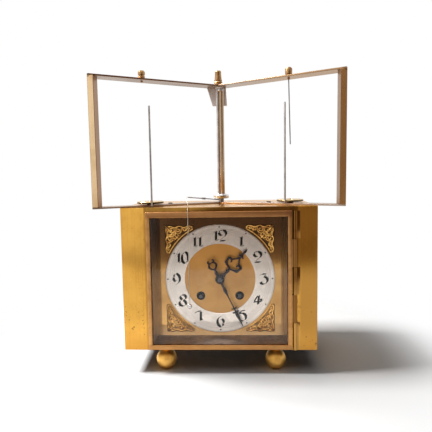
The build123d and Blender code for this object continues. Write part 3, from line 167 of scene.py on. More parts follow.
def moved(piece, matrix):
    """Moves a piece's mesh and leaves its object at the origin."""
    piece.data.transform(matrix)
    piece.data.update()
    return piece


def copied(piece, name, matrix):
    """Copy of a piece with a mesh of its own, in another place."""
    twin = piece.copy()
    twin.data = piece.data.copy()
    twin.name = name
    twin.data.name = name
    bpy.context.scene.collection.objects.link(twin)
    return moved(twin, matrix)


def joined(name, *pieces):
    """Makes one piece of several."""
    only(*pieces)
    bpy.ops.object.join()
    piece = bpy.context.object
    piece.name = name
    piece.data.name = name
    return piece


def smoothed(piece, angle):
    """Smooth shading up to an angle."""
    only(piece)
    bpy.ops.object.shade_smooth_by_angle(angle=radians(angle))
    return piece


def dressed(piece, body, material, slot, *stands_for):
    """Gives a finished piece its material and its body, and hides the CAD pieces that it stands for."""
    piece.data.materials.clear()
    piece.data.materials.append(material)
    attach(piece, body)
    if stands_for:
        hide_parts(*stands_for)
    return piece


def painted(material, *nodes):
    """Gives CAD pieces that stay as they are a new material."""
    for node in nodes:
        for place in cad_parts[node].material_slots:
            place.material = material


# ---------------------------------------------------------------- ways of making pieces
def softened(node, width, shortest=1.2, segments=2, corner=0):
    """Copy of a plain CAD piece with its long sharp edges rounded, and the upper edge of its
    outer end rounded further by a corner radius."""
    piece = linked(f"{node}_finished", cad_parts[node].data.copy())
    only(piece)
    bpy.ops.mesh.customdata_custom_splitnormals_clear()
    with Editing(piece, "EDGE") as edit:
        bpy.ops.mesh.select_all(action="SELECT")
        bpy.ops.mesh.remove_doubles(threshold=WELD)
        bpy.ops.mesh.dissolve_limited(angle_limit=radians(0.5))
        if corner:
            low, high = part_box(node)
            outer_end = max(-low.x, high.x) - 12 * MM
            top = high.z - 0.05 * MM
            edit.pick(lambda edge: all(
                vert.co.z > top and abs(vert.co.x) > outer_end for vert in edge.verts
            ))
            bpy.ops.mesh.bevel(offset=corner * MM, segments=4, clamp_overlap=True)
        edit.pick(
            lambda edge: len(edge.link_faces) == 2
            and edge.calc_length() > shortest * MM
            and edge.calc_face_angle() > radians(40)
            and edge.is_convex
        )
        bpy.ops.mesh.bevel(offset=width * MM, segments=segments, clamp_overlap=False)
        edit.note_narrow("rounding", width)
    return smoothed(piece, 20)


def turned(name, foot, axis, profile, sides=48, ring=False):
    """Lathe-turned piece: a circle is extruded and resized along its axis through the profile,
    which lists radius and distance from the foot in millimetres. A ring's profile is closed."""
    if ring:
        profile = [*profile, profile[0]]
    radius, distance = profile[0]
    bpy.ops.object.select_all(action="DESELECT")
    bpy.ops.mesh.primitive_circle_add(
        vertices=sides, radius=radius * MM, fill_type="NOTHING" if ring else "NGON",
        location=foot + axis * distance * MM, rotation=axis.to_track_quat("Z", "Y").to_euler(),
    )
    piece = named(name)
    with Editing(piece, "EDGE" if ring else "FACE") as edit:
        bpy.ops.mesh.select_all(action="SELECT")
        for next_radius, next_distance in profile[1:]:
            rise = axis * (next_distance - distance) * MM
            bpy.ops.mesh.extrude_region_move(TRANSFORM_OT_translate={"value": rise})
            share = next_radius / radius
            bpy.ops.transform.resize(
                value=(share, share, share), center_override=foot + axis * next_distance * MM
            )
            radius, distance = next_radius, next_distance
        if ring:
            bpy.ops.mesh.select_all(action="SELECT")
            bpy.ops.mesh.remove_doubles(threshold=WELD)
        edit.face_outwards()
    return smoothed(piece, 32)


def smooth_path(path):
    """Points along a smooth curve through the points of a path."""
    if len(path) == 2:
        return [Vector(point) for point in path]
    steps = 6
    spots = [Vector(point) for point in (path[0], *path, path[-1])]
    found = []
    for before, start, end, after in zip(spots, spots[1:], spots[2:], spots[3:]):
        for step in range(steps):
            t = step / steps
            found.append(0.5 * (
                2 * start + (end - before) * t + (2 * before - 5 * start + 4 * end - after) * t**2
                + (3 * start - before - 3 * end + after) * t**3
            ))
    return found + [spots[-1]]


def penned(path, nib):
    """Outline of a stroke that a broad pen draws, with ends cut along the nib."""
    spots = smooth_path(path)
    left, right = [], []
    for index, spot in enumerate(spots):
        ahead = spots[min(index + 1, len(spots) - 1)] - spots[max(index - 1, 0)]
        side = Vector((-ahead.y, ahead.x)).normalized()
        reach = side.dot(nib)
        if len(spots) == 2 and abs(reach) > 2 * HAIRLINE:
            offset = nib * (1 if reach > 0 else -1)
        else:
            offset = side * max(abs(reach), HAIRLINE)
        left.append(spot + offset)
        right.append(spot - offset)
    return left + right[::-1]


def inked(name, paths, depth, thickness, nib):
    """Flat painted strokes in the dial's plane, drawn by a broad pen along paths of (x, z)."""
    marks = []
    for path in paths:
        curve = bpy.data.curves.new(name, "CURVE")
        curve.dimensions = "2D"
        curve.fill_mode = "BOTH"
        curve.extrude = thickness / 2 * MM
        outline = penned(path, Vector(nib))
        spline = curve.splines.new("POLY")
        spline.points.add(len(outline) - 1)
        for point, spot in zip(spline.points, outline):
            point.co = (spot.x * MM, spot.y * MM, 0, 1)
        spline.use_cyclic_u = True
        marks.append(linked(name, curve))
    only(*marks)
    bpy.ops.object.convert(target="MESH")
    piece = joined(name, *bpy.context.selected_objects)
    moved(piece, Matrix.Translation(at(0, depth, 0)) @ Matrix.Rotation(pi / 2, 4, "X"))
    with Editing(piece) as edit:
        bpy.ops.mesh.select_all(action="SELECT")
        bpy.ops.mesh.remove_doubles(threshold=INK_WELD)
        edit.face_outwards()
    return piece


def strokes(name, lines, depth, flatten, sides, steps, weight):
    """Drawn metal strokes in the dial's plane. Each line lists (x, z, half width) in
    millimetres; the round strokes are flattened front to back."""
    curve = bpy.data.curves.new(name, "CURVE")
    curve.dimensions = "3D"
    curve.bevel_depth = weight * MM
    curve.bevel_resolution = sides
    curve.resolution_u = steps
    curve.use_fill_caps = True
    for line in lines:
        spline = curve.splines.new("BEZIER")
        spline.bezier_points.add(len(line) - 1)
        for point, (x, z, half) in zip(spline.bezier_points, line):
            point.co = at(x, depth, z)
            point.radius = half
            point.handle_left_type = "AUTO"
            point.handle_right_type = "AUTO"
    only(linked(name, curve))
    bpy.ops.object.convert(target="MESH")
    piece = bpy.context.object
    with Editing(piece) as edit:
        bpy.ops.mesh.select_all(action="SELECT")
        bpy.ops.transform.resize(value=(1, flatten, 1), center_override=at(0, depth, 0))
        edit.face_outwards()
    return smoothed(piece, 50)


def slotted(head, place, across, depth):
    """Cuts a screwdriver slot across an upright screw's head, to a depth below a place on it."""
    bpy.ops.object.select_all(action="DESELECT")
    bpy.ops.mesh.primitive_cube_add(size=1, location=place)
    blade = named("blade")
    width, length = 0.5, 8.5
    size = (X + Y) * width + across * (length - width) + Z * 2 * depth
    stretch = Matrix.Diagonal((*size * MM, 1))
    moved(blade, Matrix.Translation(place) @ stretch @ Matrix.Translation(-place))
    cut = head.modifiers.new("Slot", "BOOLEAN")
    cut.object = blade
    cut.operation = "DIFFERENCE"
    cut.solver = "EXACT"
    only(head)
    bpy.ops.object.modifier_apply(modifier=cut.name)
    bpy.data.objects.remove(blade)
    return smoothed(head, 30)


# ---------------------------------------------------------------- shader wiring
class Wire:
    """A node's output that adds Math nodes when it is used in an expression."""

    def __init__(self, board, socket):
        self.board = board
        self.socket = socket

    def maths(self, operation, *values):
        """A Math node over wires and numbers."""
        inputs = {place: value for place, value in enumerate(values)}
        return self.board.node("ShaderNodeMath", {"operation": operation}, inputs)

    def __add__(self, other):
        return self.maths("ADD", self, other)

    def __mul__(self, other):
        return self.maths("MULTIPLY", self, other)

    def __sub__(self, other):
        return self.maths("SUBTRACT", self, other)

    def __rsub__(self, other):
        return self.maths("SUBTRACT", other, self)

    def __abs__(self):
        return self.maths("ABSOLUTE", self)

    __radd__ = __add__
    __rmul__ = __mul__

    def power(self, exponent):
        return self.maths("POWER", self, exponent)

    def sine(self):
        return self.maths("SINE", self)

    def ramp(self, low, high):
        """0 below low, 1 above high, smooth between them."""
        return self.board.node(
            "ShaderNodeMapRange", {"interpolation_type": "SMOOTHSTEP"},
            {"Value": self, "From Min": low, "From Max": high},
        )

    def rise(self, low, high):
        """The ramp of a distance, between limits in millimetres."""
        return self.ramp(low * MM, high * MM)

    def slope(self, low, high):
        """0 below low and 1 above high, straight between them, in millimetres."""
        return self.board.node(
            "ShaderNodeMapRange", None, {"Value": self, "From Min": low * MM, "From Max": high * MM}
        )

    def either(self, other):
        """The greater of two shares."""
        return self.maths("MAXIMUM", self, other)


class Board:
    """A node tree and the one way of adding nodes to it."""

    def __init__(self, tree):
        self.tree = tree

    def node(self, kind, options=None, inputs=None, output=0):
        """Adds a node, wires its inputs or sets them, and gives one of its outputs."""
        made = self.tree.nodes.new(kind)
        for name, value in (options or {}).items():
            setattr(made, name, value)
        for name, value in (inputs or {}).items():
            socket = made.inputs[name]
            if isinstance(value, Wire):
                self.tree.links.new(value.socket, socket)
            else:
                socket.default_value = value
        return Wire(self, made.outputs[output])

    def blend(self, share, first, second):
        """Colour between two, by a share."""
        first, second = (
            (*colour, 1) if isinstance(colour, (tuple, list)) and len(colour) == 3 else colour
            for colour in (first, second)
        )
        return self.node(
            "ShaderNodeMix", {"data_type": "RGBA"}, {0: share, 6: first, 7: second}, output=2
        )

    def ray(self, kind):
        """1 for rays of this kind."""
        return self.node("ShaderNodeLightPath", output=f"Is {kind} Ray")

    def place(self, stretch=(1, 1, 1), centre=(0, 0, 0)):
        """Object coordinates about a centre, stretched along the axes."""
        spot = self.node("ShaderNodeTexCoord", output="Object")
        offset = [-value * share for value, share in zip(centre, stretch)]
        return self.node("ShaderNodeMapping", None, {0: spot, 1: offset, 3: stretch})

    def noise(self, scale, detail, rough=0.5, stretch=(1, 1, 1)):
        """Noise over the piece's own coordinates."""
        return self.node(
            "ShaderNodeTexNoise", None,
            {"Vector": self.place(stretch), "Scale": scale, "Detail": detail, "Roughness": rough},
        )

    def parts(self, vector):
        """The three components of a vector."""
        first = self.node("ShaderNodeSeparateXYZ", None, {0: vector})
        return [Wire(self, socket) for socket in first.socket.node.outputs]

    def span(self, centre=at(0, 0, 0)):
        """Distances across, behind and above a point, which is the dial centre at first."""
        return self.parts(self.place(centre=centre))

    def facing(self):
        """The three components of the surface's direction."""
        return self.parts(self.node("ShaderNodeNewGeometry", output="Normal"))


class Finish(Board):
    """One procedural material: a Principled shader with constant sockets and wired ones."""

    def __init__(self, name, **constants):
        self.material = bpy.data.materials.new(name)
        self.material.use_nodes = True
        super().__init__(self.material.node_tree)
        self.shader = self.tree.nodes["Principled BSDF"]
        for socket, value in constants.items():
            self.shader.inputs[socket.replace("_", " ").title().replace("Ior", "IOR")].default_value = value

    def feed(self, socket, wire):
        """Wires an input of the Principled shader."""
        self.tree.links.new(wire.socket, self.shader.inputs[socket])
        return self

    def relief(self, height, depth, strength=1.0):
        """Bump from a height, with its depth in millimetres."""
        bump = self.node(
            "ShaderNodeBump", None, {"Height": height, "Distance": depth * MM, "Strength": strength}
        )
        return self.feed("Normal", bump)


def settings():
    """The sizes and colours that the panel shows."""
    return bpy.context.scene.clock_finish


finishes = {}


def finish(maker, *options):
    """A material made once and shared by the pieces of that finish."""
    key = (maker.__name__, *options)
    if key not in finishes:
        finishes[key] = maker(*options).material
    return finishes[key]


def brushed_brass(run, tone):
    """Lacquered sheet brass, brushed along one axis, with clouded tarnish and a few dark specks."""
    light, dark, rough = {
        "case": (tuple(settings().case_colour), (0.52, 0.235, 0.035), 0.24),
        "front": (tuple(settings().case_colour), (0.52, 0.235, 0.035), 0.12),
        "base": ((0.09, 0.05, 0.025), (0.04, 0.022, 0.012), 0.70),
        "frame": (tuple(settings().frame_colour), (0.70, 0.44, 0.22), 0.30),
        "strip": ((0.42, 0.32, 0.25), (0.28, 0.19, 0.13), 0.34),
        "tube": ((0.52, 0.38, 0.25), (0.36, 0.24, 0.14), 0.30),
        "inside": ((0.58, 0.36, 0.12), (0.36, 0.20, 0.06), 0.42),
    }[tone]
    made = Finish(f"brushed brass {tone} along {'xyz'[run]}", metallic=0.1 if tone == "base" else 1.0)
    fine = [5200.0] * 3
    fine[run] = 36.0
    broad = [900.0] * 3
    broad[run] = 14.0
    hair = made.noise(1, 2, stretch=fine)
    bands = made.noise(1, 2, stretch=broad)
    cloud = made.noise(26, 5, 0.6)
    speck = made.noise(640, 1).ramp(0.73, 0.78)
    darkening = cloud.ramp(0.40, 0.72) * 0.75 + bands.ramp(0.45, 0.75) * 0.25
    colour = made.blend(darkening, light, dark)
    if tone in ("case", "front"):
        colour = made.blend(hair.ramp(0.3, 0.7) * 0.2, colour, (0.88, 0.54, 0.14))
    colour = made.blend(speck * 0.55, colour, (0.13, 0.07, 0.03))
    if tone == "front":
        colour = unpolished_border(made, colour, cloud)
    if tone == "frame":
        colour = browned_uprights(made, colour)
    if tone == "strip":
        colour = browned_strips(made, colour)
    spread = 0.35 if tone == "front" else 1
    made.feed("Base Color", colour)
    made.feed("Roughness", rough + (hair - 0.5) * 0.16 * spread + (cloud - 0.5) * 0.14 * spread)
    made.relief(hair + bands * 0.4, 0.02 if tone == "front" else 0.012, 0.7)
    return made


def browned_uprights(made, colour):
    """Paints shade on the inner faces and the depth of both uprights, and browns the whole of the right one
    as painted shade.
    """
    across, behind, _ = made.span(at(0, UPRIGHT_FRONT, 0))
    sideways, _, _ = made.facing()
    right = across.rise(-20, 20)
    colour = made.blend((1 - right) * sideways.ramp(0, 0.3) * 0.95, colour, (0.31, 0.13, 0.034))
    colour = made.blend(right * 0.92, colour, (0.72, 0.40, 0.15))
    colour = made.blend(right * (0 - sideways).ramp(0, 0.3) * 0.85, colour, (0.28, 0.17, 0.09))
    colour = made.blend(behind.rise(0.3, 2) * 0.5, colour, (0.26, 0.13, 0.05))
    return browned_edges(made, colour, 0.75)


def browned_strips(made, colour):
    """Paints shade on the edges of the upper strips, less on the right one, and browns the right one
    towards its end.
    """
    across, _, up = made.span(at(0, 0, FRAME_TOP - 20))
    _, _, level = made.facing()
    upper = up.rise(0, 1)
    right = across.rise(-2, 6)
    rim = (1 - abs(level).ramp(0.3, 0.6)) * upper
    colour = made.blend(across.rise(0, 70) * upper * 0.75, colour, (0.46, 0.27, 0.11))
    # painted shade on the strips' upright faces and rounded edges, less on the right strip, whose front
    # edge catches the light
    colour = made.blend(rim * (0.9 - right * 0.6), colour, (0.11, 0.045, 0.022))
    return browned_edges(made, colour, 0.75 - right * 0.35)


def browned_edges(made, colour, share):
    """Darkens the rounded edges by a share, and paints shade in the frame's upper outer corners."""
    rounding = made.node("ShaderNodeAttribute", {"attribute_name": "rounding"}, output="Fac")
    across, _, up = made.span(at(0, 0, FRAME_TOP))
    corner = (abs(across) + up).rise(109.5, 111) * up.rise(-4, -3)
    colour = made.blend(rounding * share, colour, (0.17, 0.075, 0.03))
    # painted shade in the frame's upper outer corners
    return made.blend(corner * 0.6, colour, (0.14, 0.065, 0.03))


def unpolished_border(made, colour, cloud):
    """Paints shade on the brass beside the door: a dark reflection in a broad band above it, a shadow
    in a narrow band at its hinge, deeper towards the top, with grains of old polish, and a shadow line
    at its other side. The foot of the plate and the lower half beyond the hinge are browner, with some
    stains."""
    across, _, up = made.span()
    foot = 1 - up.rise(-66, -38)
    low_beyond_hinge = across.rise(73, 78) * (1 - up.rise(10, 24)) * (0.9 - foot * 0.5)
    # painted reflection: the flat band above the door darker; painted shadow in a band at the hinge, deeper
    # towards the top, and a painted shadow line along the door's other side
    above_door = up.rise(66, 69.5) * (1 - abs(across).rise(66, 72))
    hinge = across.rise(66, 68) * (1 - across.rise(73.2, 75.5))
    side = 1 - abs(across + DOOR_SIDE * MM).rise(0.6, 1.8)
    upper = up.rise(-25, 15) * 0.55 + 0.2
    shaded = (above_door * 0.72 + hinge * upper + side * 0.4) * (cloud * 0.5 + 0.7)
    grains = made.noise(900, 2).ramp(0.60, 0.66) * hinge * (1 - up.rise(0, 30))
    stains = made.noise(330, 1).ramp(0.69, 0.73) * (1 - up.rise(-60, 0))
    for share, darkening in (
        (foot * 0.75, (0.50, 0.23, 0.04)), (low_beyond_hinge, (0.44, 0.215, 0.045)),
        (shaded.ramp(0.0, 0.9) * 0.85, (0.17, 0.075, 0.018)),
        (grains * 0.9, (0.02, 0.012, 0.008)), (stains * 0.75, (0.10, 0.04, 0.012)),
    ):
        colour = made.blend(share, colour, darkening)
    return colour


def polished_brass(tone):
    """Hand-polished brass with slightly darker patches and small pits."""
    light, dark, rough = {
        "turned": ((0.46, 0.27, 0.12), (0.24, 0.12, 0.05), 0.28),
        "foot": ((0.90, 0.52, 0.13), (0.60, 0.31, 0.065), 0.46),
        "door": ((0.64, 0.34, 0.12), (0.42, 0.20, 0.065), 0.38),
        # dark tones of the hinge: painted shade like the plate's beside it
        "hinge": ((0.24, 0.105, 0.024), (0.15, 0.06, 0.014), 0.16),
        "cast": (tuple(settings().gilt_colour), (0.45, 0.20, 0.04), 0.20),
        "disc": ((0.80, 0.58, 0.28), (0.52, 0.32, 0.12), 0.22),
    }[tone]
    made = Finish(f"polished brass {tone}", metallic=1.0)
    cloud = made.noise(90, 4, 0.6)
    grain = made.noise(2600, 2)
    pits = made.noise(900, 2).ramp(0.66, 0.74)
    colour = made.blend(cloud.ramp(0.35, 0.75), light, dark)
    colour = made.blend(pits * 0.5, colour, (0.16, 0.08, 0.03))
    if tone == "door":
        colour = coppery_door(made, colour)
    if tone == "disc":
        # painted shade on the rims of the discs, which face sideways
        _, _, level = made.facing()
        colour = made.blend((1 - abs(level).ramp(0.3, 0.6)) * 0.92, colour, (0.045, 0.032, 0.012))
    if tone == "hinge":
        across, _, up = made.span()
        lower = 1 - up.rise(-20, 10)
        outer = across.rise(74.6, 75.8) * (lower * 0.6 + 0.25)
        # painted reflection: lighter towards the bottom, and a painted highlight along the outer edge
        colour = made.blend(lower * 0.85, colour, (0.50, 0.27, 0.075))
        colour = made.blend(outer, colour, (0.66, 0.35, 0.07))
    made.feed("Base Color", colour)
    made.feed("Roughness", rough + (cloud - 0.5) * 0.2 + (grain - 0.5) * 0.1)
    made.relief(grain + pits * -0.6, 0.02 if tone == "cast" else 0.006, 0.6)
    return made


def coppery_door(made, colour):
    """Coppers the door's top rail and hinge side, browns its bottom rail, and paints a shadow line along
    its outer edge.
    """
    across, _, up = made.span()
    # painted shadow line along the outer edge, next to the hinge
    edge = across.rise(DOOR_SIDE - 0.6, DOOR_SIDE)
    copper = up.rise(62, 66) * 0.7 + across.rise(60, 66) * up.rise(-60, 10) * 0.3
    for share, darkening in (
        ((1 - up.rise(-58.5, -57)) * 0.7, (0.38, 0.18, 0.06)), (copper * (1 - edge), (0.34, 0.15, 0.06)),
        (edge, (0.25, 0.115, 0.03)), ((1 - up.rise(-66, -61)) * 0.7, (0.30, 0.145, 0.055)),
    ):
        colour = made.blend(share, colour, darkening)
    return colour


def dial_brass():
    """Dial plate: matt grained middle inside the chapter ring, mirror-polished outside it."""
    made = Finish("dial plate brass", metallic=1.0)
    across, _, up = made.span()
    radius = (across * across + up * up).power(0.5)
    outside = radius.rise(RING_BORE, RING_BORE + 4)
    grain = made.noise(1, 3, stretch=(60, 4000, 4000))
    cloud = made.noise(60, 4, 0.6)
    matt = made.blend(cloud.ramp(0.35, 0.7), (0.58, 0.31, 0.10), (0.47, 0.235, 0.07))
    matt = made.blend(grain.ramp(0.35, 0.65) * 0.3, matt, (0.66, 0.40, 0.16))
    # painted reflection: the matt middle more orange towards the top
    matt = made.blend(up.rise(-4, 26) * 0.6, matt, (0.62, 0.28, 0.06))
    mirror = made.blend(cloud.ramp(0.4, 0.7), (0.56, 0.31, 0.10), (0.46, 0.24, 0.07))
    # painted reflection: the mirror darker towards the top
    mirror = made.blend(up.rise(8, 56) * 0.8, mirror, (0.13, 0.065, 0.032))
    colour = made.blend(outside, matt, mirror)
    corner = radius.rise(57.2, 57.9)
    for side in (abs(across), abs(up)):
        corner = corner * side.rise(25, 27) * (1 - side.rise(54.2, 54.8))
    # painted shade on the plate behind the corner ornaments, deeper behind the upper ones as a painted
    # reflection
    behind_ornament = corner * (up.rise(-20, 20) * 0.42 + 0.5)
    colour = made.blend(behind_ornament, colour, (0.055, 0.022, 0.007))
    # painted reflection: the bottom margin paler
    low = 1 - up.slope(-60, -47.5)
    made.feed("Base Color", made.blend(low * 0.8, colour, (0.50, 0.31, 0.15)))
    rough = outside * -0.33 + 0.42 + corner * 0.3 + (1 - up.rise(-49, -46.5)) * 0.12
    made.feed("Roughness", rough + (grain - 0.5) * 0.08 + (cloud - 0.5) * 0.05)
    made.relief(grain * 0.001 + low, PLATE_TILT)
    return made


def silvered():
    """Silvered brass ring with fine turned circles and a little greyed wear."""
    made = Finish("silvered ring", metallic=0.8)
    across, _, up = made.span()
    radius = (across * across + up * up).power(0.5)
    turning = (radius * (tau / (0.45 * MM))).sine()
    cloud = made.noise(70, 5, 0.65)
    speck = made.noise(520, 2).ramp(0.68, 0.76)
    colour = made.blend(cloud.ramp(0.35, 0.75), tuple(settings().ring_colour), (0.74, 0.67, 0.60))
    colour = made.blend(speck * 0.4, colour, (0.38, 0.32, 0.27))
    lines = sum((1 - abs(radius - line * MM).rise(0.08, 0.34)) for line in (46.6, 48.4, 50.3, 53.9))
    colour = made.blend(lines * 0.42, colour, (0.26, 0.21, 0.19))
    made.feed("Base Color", colour)
    made.feed("Roughness", 0.28 + turning * 0.03 + (cloud - 0.5) * 0.15)
    made.relief((turning * 0.25 - lines * 0.5) * (0.006 / RING_TILT) + (1 - up.slope(-58, -44)), RING_TILT)
    return made


def dark_steel(tone):
    """Blued or blackened steel and black paint, with faint clouds."""
    light, dark, rough, metal = {
        "blued": ((0.040, 0.030, 0.034), (0.014, 0.010, 0.012), 0.30, 0.7),
        "paint": ((0.010, 0.008, 0.008), (0.004, 0.004, 0.004), 0.6, 0.0),
        "black": ((0.014, 0.011, 0.010), (0.006, 0.005, 0.005), 0.45, 0.2),
    }[tone]
    gloss = 0.5 if tone == "blued" else 0.2
    made = Finish(f"{tone} steel", metallic=metal, specular_ior_level=gloss)
    cloud = made.noise(260, 4, 0.6)
    grain = made.noise(3000, 2)
    made.feed("Base Color", made.blend(cloud.ramp(0.35, 0.7), light, dark))
    made.feed("Roughness", rough + (cloud - 0.5) * 0.25)
    made.relief(grain, 0.004, 0.5)
    return made


def bright_steel(run, tone):
    """Drawn or polished steel and nickel with fine lengthwise lines."""
    light, dark, rough = {
        "steel": ((0.50, 0.46, 0.44), (0.30, 0.27, 0.26), 0.30),
        "rod": ((0.72, 0.68, 0.66), (0.52, 0.47, 0.46), 0.38),
        "nickel": ((0.86, 0.79, 0.75), (0.66, 0.58, 0.54), 0.40),
        "polished nickel": ((0.84, 0.82, 0.80), (0.66, 0.63, 0.62), 0.14),
        "square": ((0.10, 0.095, 0.10), (0.045, 0.04, 0.045), 0.20),
        "wire": ((0.34, 0.32, 0.32), (0.20, 0.18, 0.18), 0.32),
    }[tone]
    made = Finish(f"{tone} along {'xyz'[run]}", metallic=1.0)
    stretch = [4200.0] * 3
    stretch[run] = 60.0
    hair = made.noise(1, 2, stretch=stretch)
    cloud = made.noise(120, 4, 0.6)
    rust = made.noise(380, 3).ramp(0.66, 0.76)
    colour = made.blend(cloud.ramp(0.35, 0.7), light, dark)
    made.feed("Base Color", made.blend(rust * 0.35, colour, (0.22, 0.13, 0.08)))
    made.feed("Roughness", rough + (hair - 0.5) * 0.15 + (cloud - 0.5) * 0.15)
    made.relief(hair, 0.006, 0.5)
    return made


def dark_lining():
    """Dark brass lining of the recess, darker still towards the top as painted shade, with a dusty bloom.
    """
    made = Finish("recess lining", metallic=0.9)
    _, _, up = made.span()
    dust = made.noise(150, 5, 0.65)
    streak = made.noise(1, 2, stretch=(300, 3000, 300))
    colour = made.blend(dust.ramp(0.35, 0.7), (0.15, 0.078, 0.042), (0.22, 0.13, 0.08))
    # painted shade under the top of the recess
    colour = made.blend(up.rise(-10, 30) * 0.75, colour, (0.045, 0.028, 0.025))
    made.feed("Base Color", colour)
    made.feed("Roughness", 0.30 + (streak - 0.5) * 0.2)
    made.relief(streak, 0.01, 0.5)
    return made


def window_glass():
    """Clear pane: see-through, with the gloss of its faces and faint smears."""
    made = Finish("door glass", base_color=(0.92, 0.95, 0.94, 1), metallic=1.0)
    smear = made.noise(1, 5, 0.6, stretch=(90, 90, 30))
    made.feed("Alpha", 0.018 + smear.ramp(0.5, 0.85) * 0.02)
    made.feed("Roughness", 0.02 + smear * 0.06)
    wave = made.noise(14, 1)
    made.relief(wave, 0.02, 0.3)
    return made


def twisted_thread():
    """Off-white cotton thread, with the shade of its twist."""
    made = Finish("cotton thread", roughness=0.9, specular_ior_level=0.2)
    across, along, up = made.parts(made.place())
    twist = ((up + along * 0.4) * (tau / (0.9 * MM)) + across * (pi / (0.4 * MM))).sine()
    fuzz = made.noise(4000, 2)
    shade = (twist * 0.5 + 0.5) * 0.55 + fuzz * 0.3
    made.feed("Base Color", made.blend(shade, (0.52, 0.44, 0.33), (0.76, 0.69, 0.56)))
    made.relief(twist + fuzz, 0.08, 0.6)
    return made


# ---------------------------------------------------------------- sizes and colours to change
class ClockFinishSettings(bpy.types.PropertyGroup):
    edge_rounding: bpy.props.FloatProperty(
        name="Edge rounding", description="Radius worn on the case and frame edges",
        default=0.35 * MM, min=0.05 * MM, max=1 * MM, precision=5, unit="LENGTH")
    numeral_height: bpy.props.FloatProperty(
        name="Numeral height", description="Height of the hour numerals",
        default=12.2 * MM, min=6 * MM, max=14 * MM, precision=4, unit="LENGTH")
    numeral_circle: bpy.props.FloatProperty(
        name="Numeral circle", description="Radius of the circle that the numerals stand on",
        default=43.6 * MM, min=38 * MM, max=48 * MM, precision=4, unit="LENGTH")
    thread_diameter: bpy.props.FloatProperty(
        name="Thread diameter", description="Thickness of the thread that carries the bob",
        default=0.65 * MM, min=0.4 * MM, max=0.8 * MM, precision=5, unit="LENGTH")
    case_colour: bpy.props.FloatVectorProperty(
        name="Case brass", description="Colour of the clean sheet brass",
        default=(0.80, 0.42, 0.075), min=0, max=1, subtype="COLOR")
    frame_colour: bpy.props.FloatVectorProperty(
        name="Frame brass", description="Colour of the strips and uprights on top",
        default=(0.98, 0.72, 0.42), min=0, max=1, subtype="COLOR")
    gilt_colour: bpy.props.FloatVectorProperty(
        name="Gilding", description="Colour of the cast corner ornaments",
        default=(0.98, 0.58, 0.16), min=0, max=1, subtype="COLOR")
    ring_colour: bpy.props.FloatVectorProperty(
        name="Silvering", description="Colour of the chapter ring",
        default=(0.93, 0.83, 0.74), min=0, max=1, subtype="COLOR")
    lamp_power: bpy.props.FloatProperty(
        name="Key lamp", description="Power of the main lamp at the left",
        default=23.0, min=0, max=60, unit="POWER")


# ---------------------------------------------------------------- stage and camera
CAMERA_PLACE = (14.53, -400.9, 102.47)      # across, behind the case front, above the dial centre
CAMERA_LENS = 35.97
CAMERA_YAW = 0.0413         # to the left, down and about the line of sight, in radians
CAMERA_PITCH = 0.0922
CAMERA_ROLL = -0.0162
FLOOR_FRONT = -0.52         # front edge of the table, in metres
LAMP_TARGET = Vector((0, 0, 0.12))
LAMPS = (                   # place and size in metres, share of the key lamp's power
    ("key", (-0.60, -0.04, 0.88), 0.28, 1.0),
    ("front", (0.0, -0.45, 0.95), 0.5, 0.06),
    ("back", (-0.25, 0.5, 0.95), 0.8, 0.11),
)


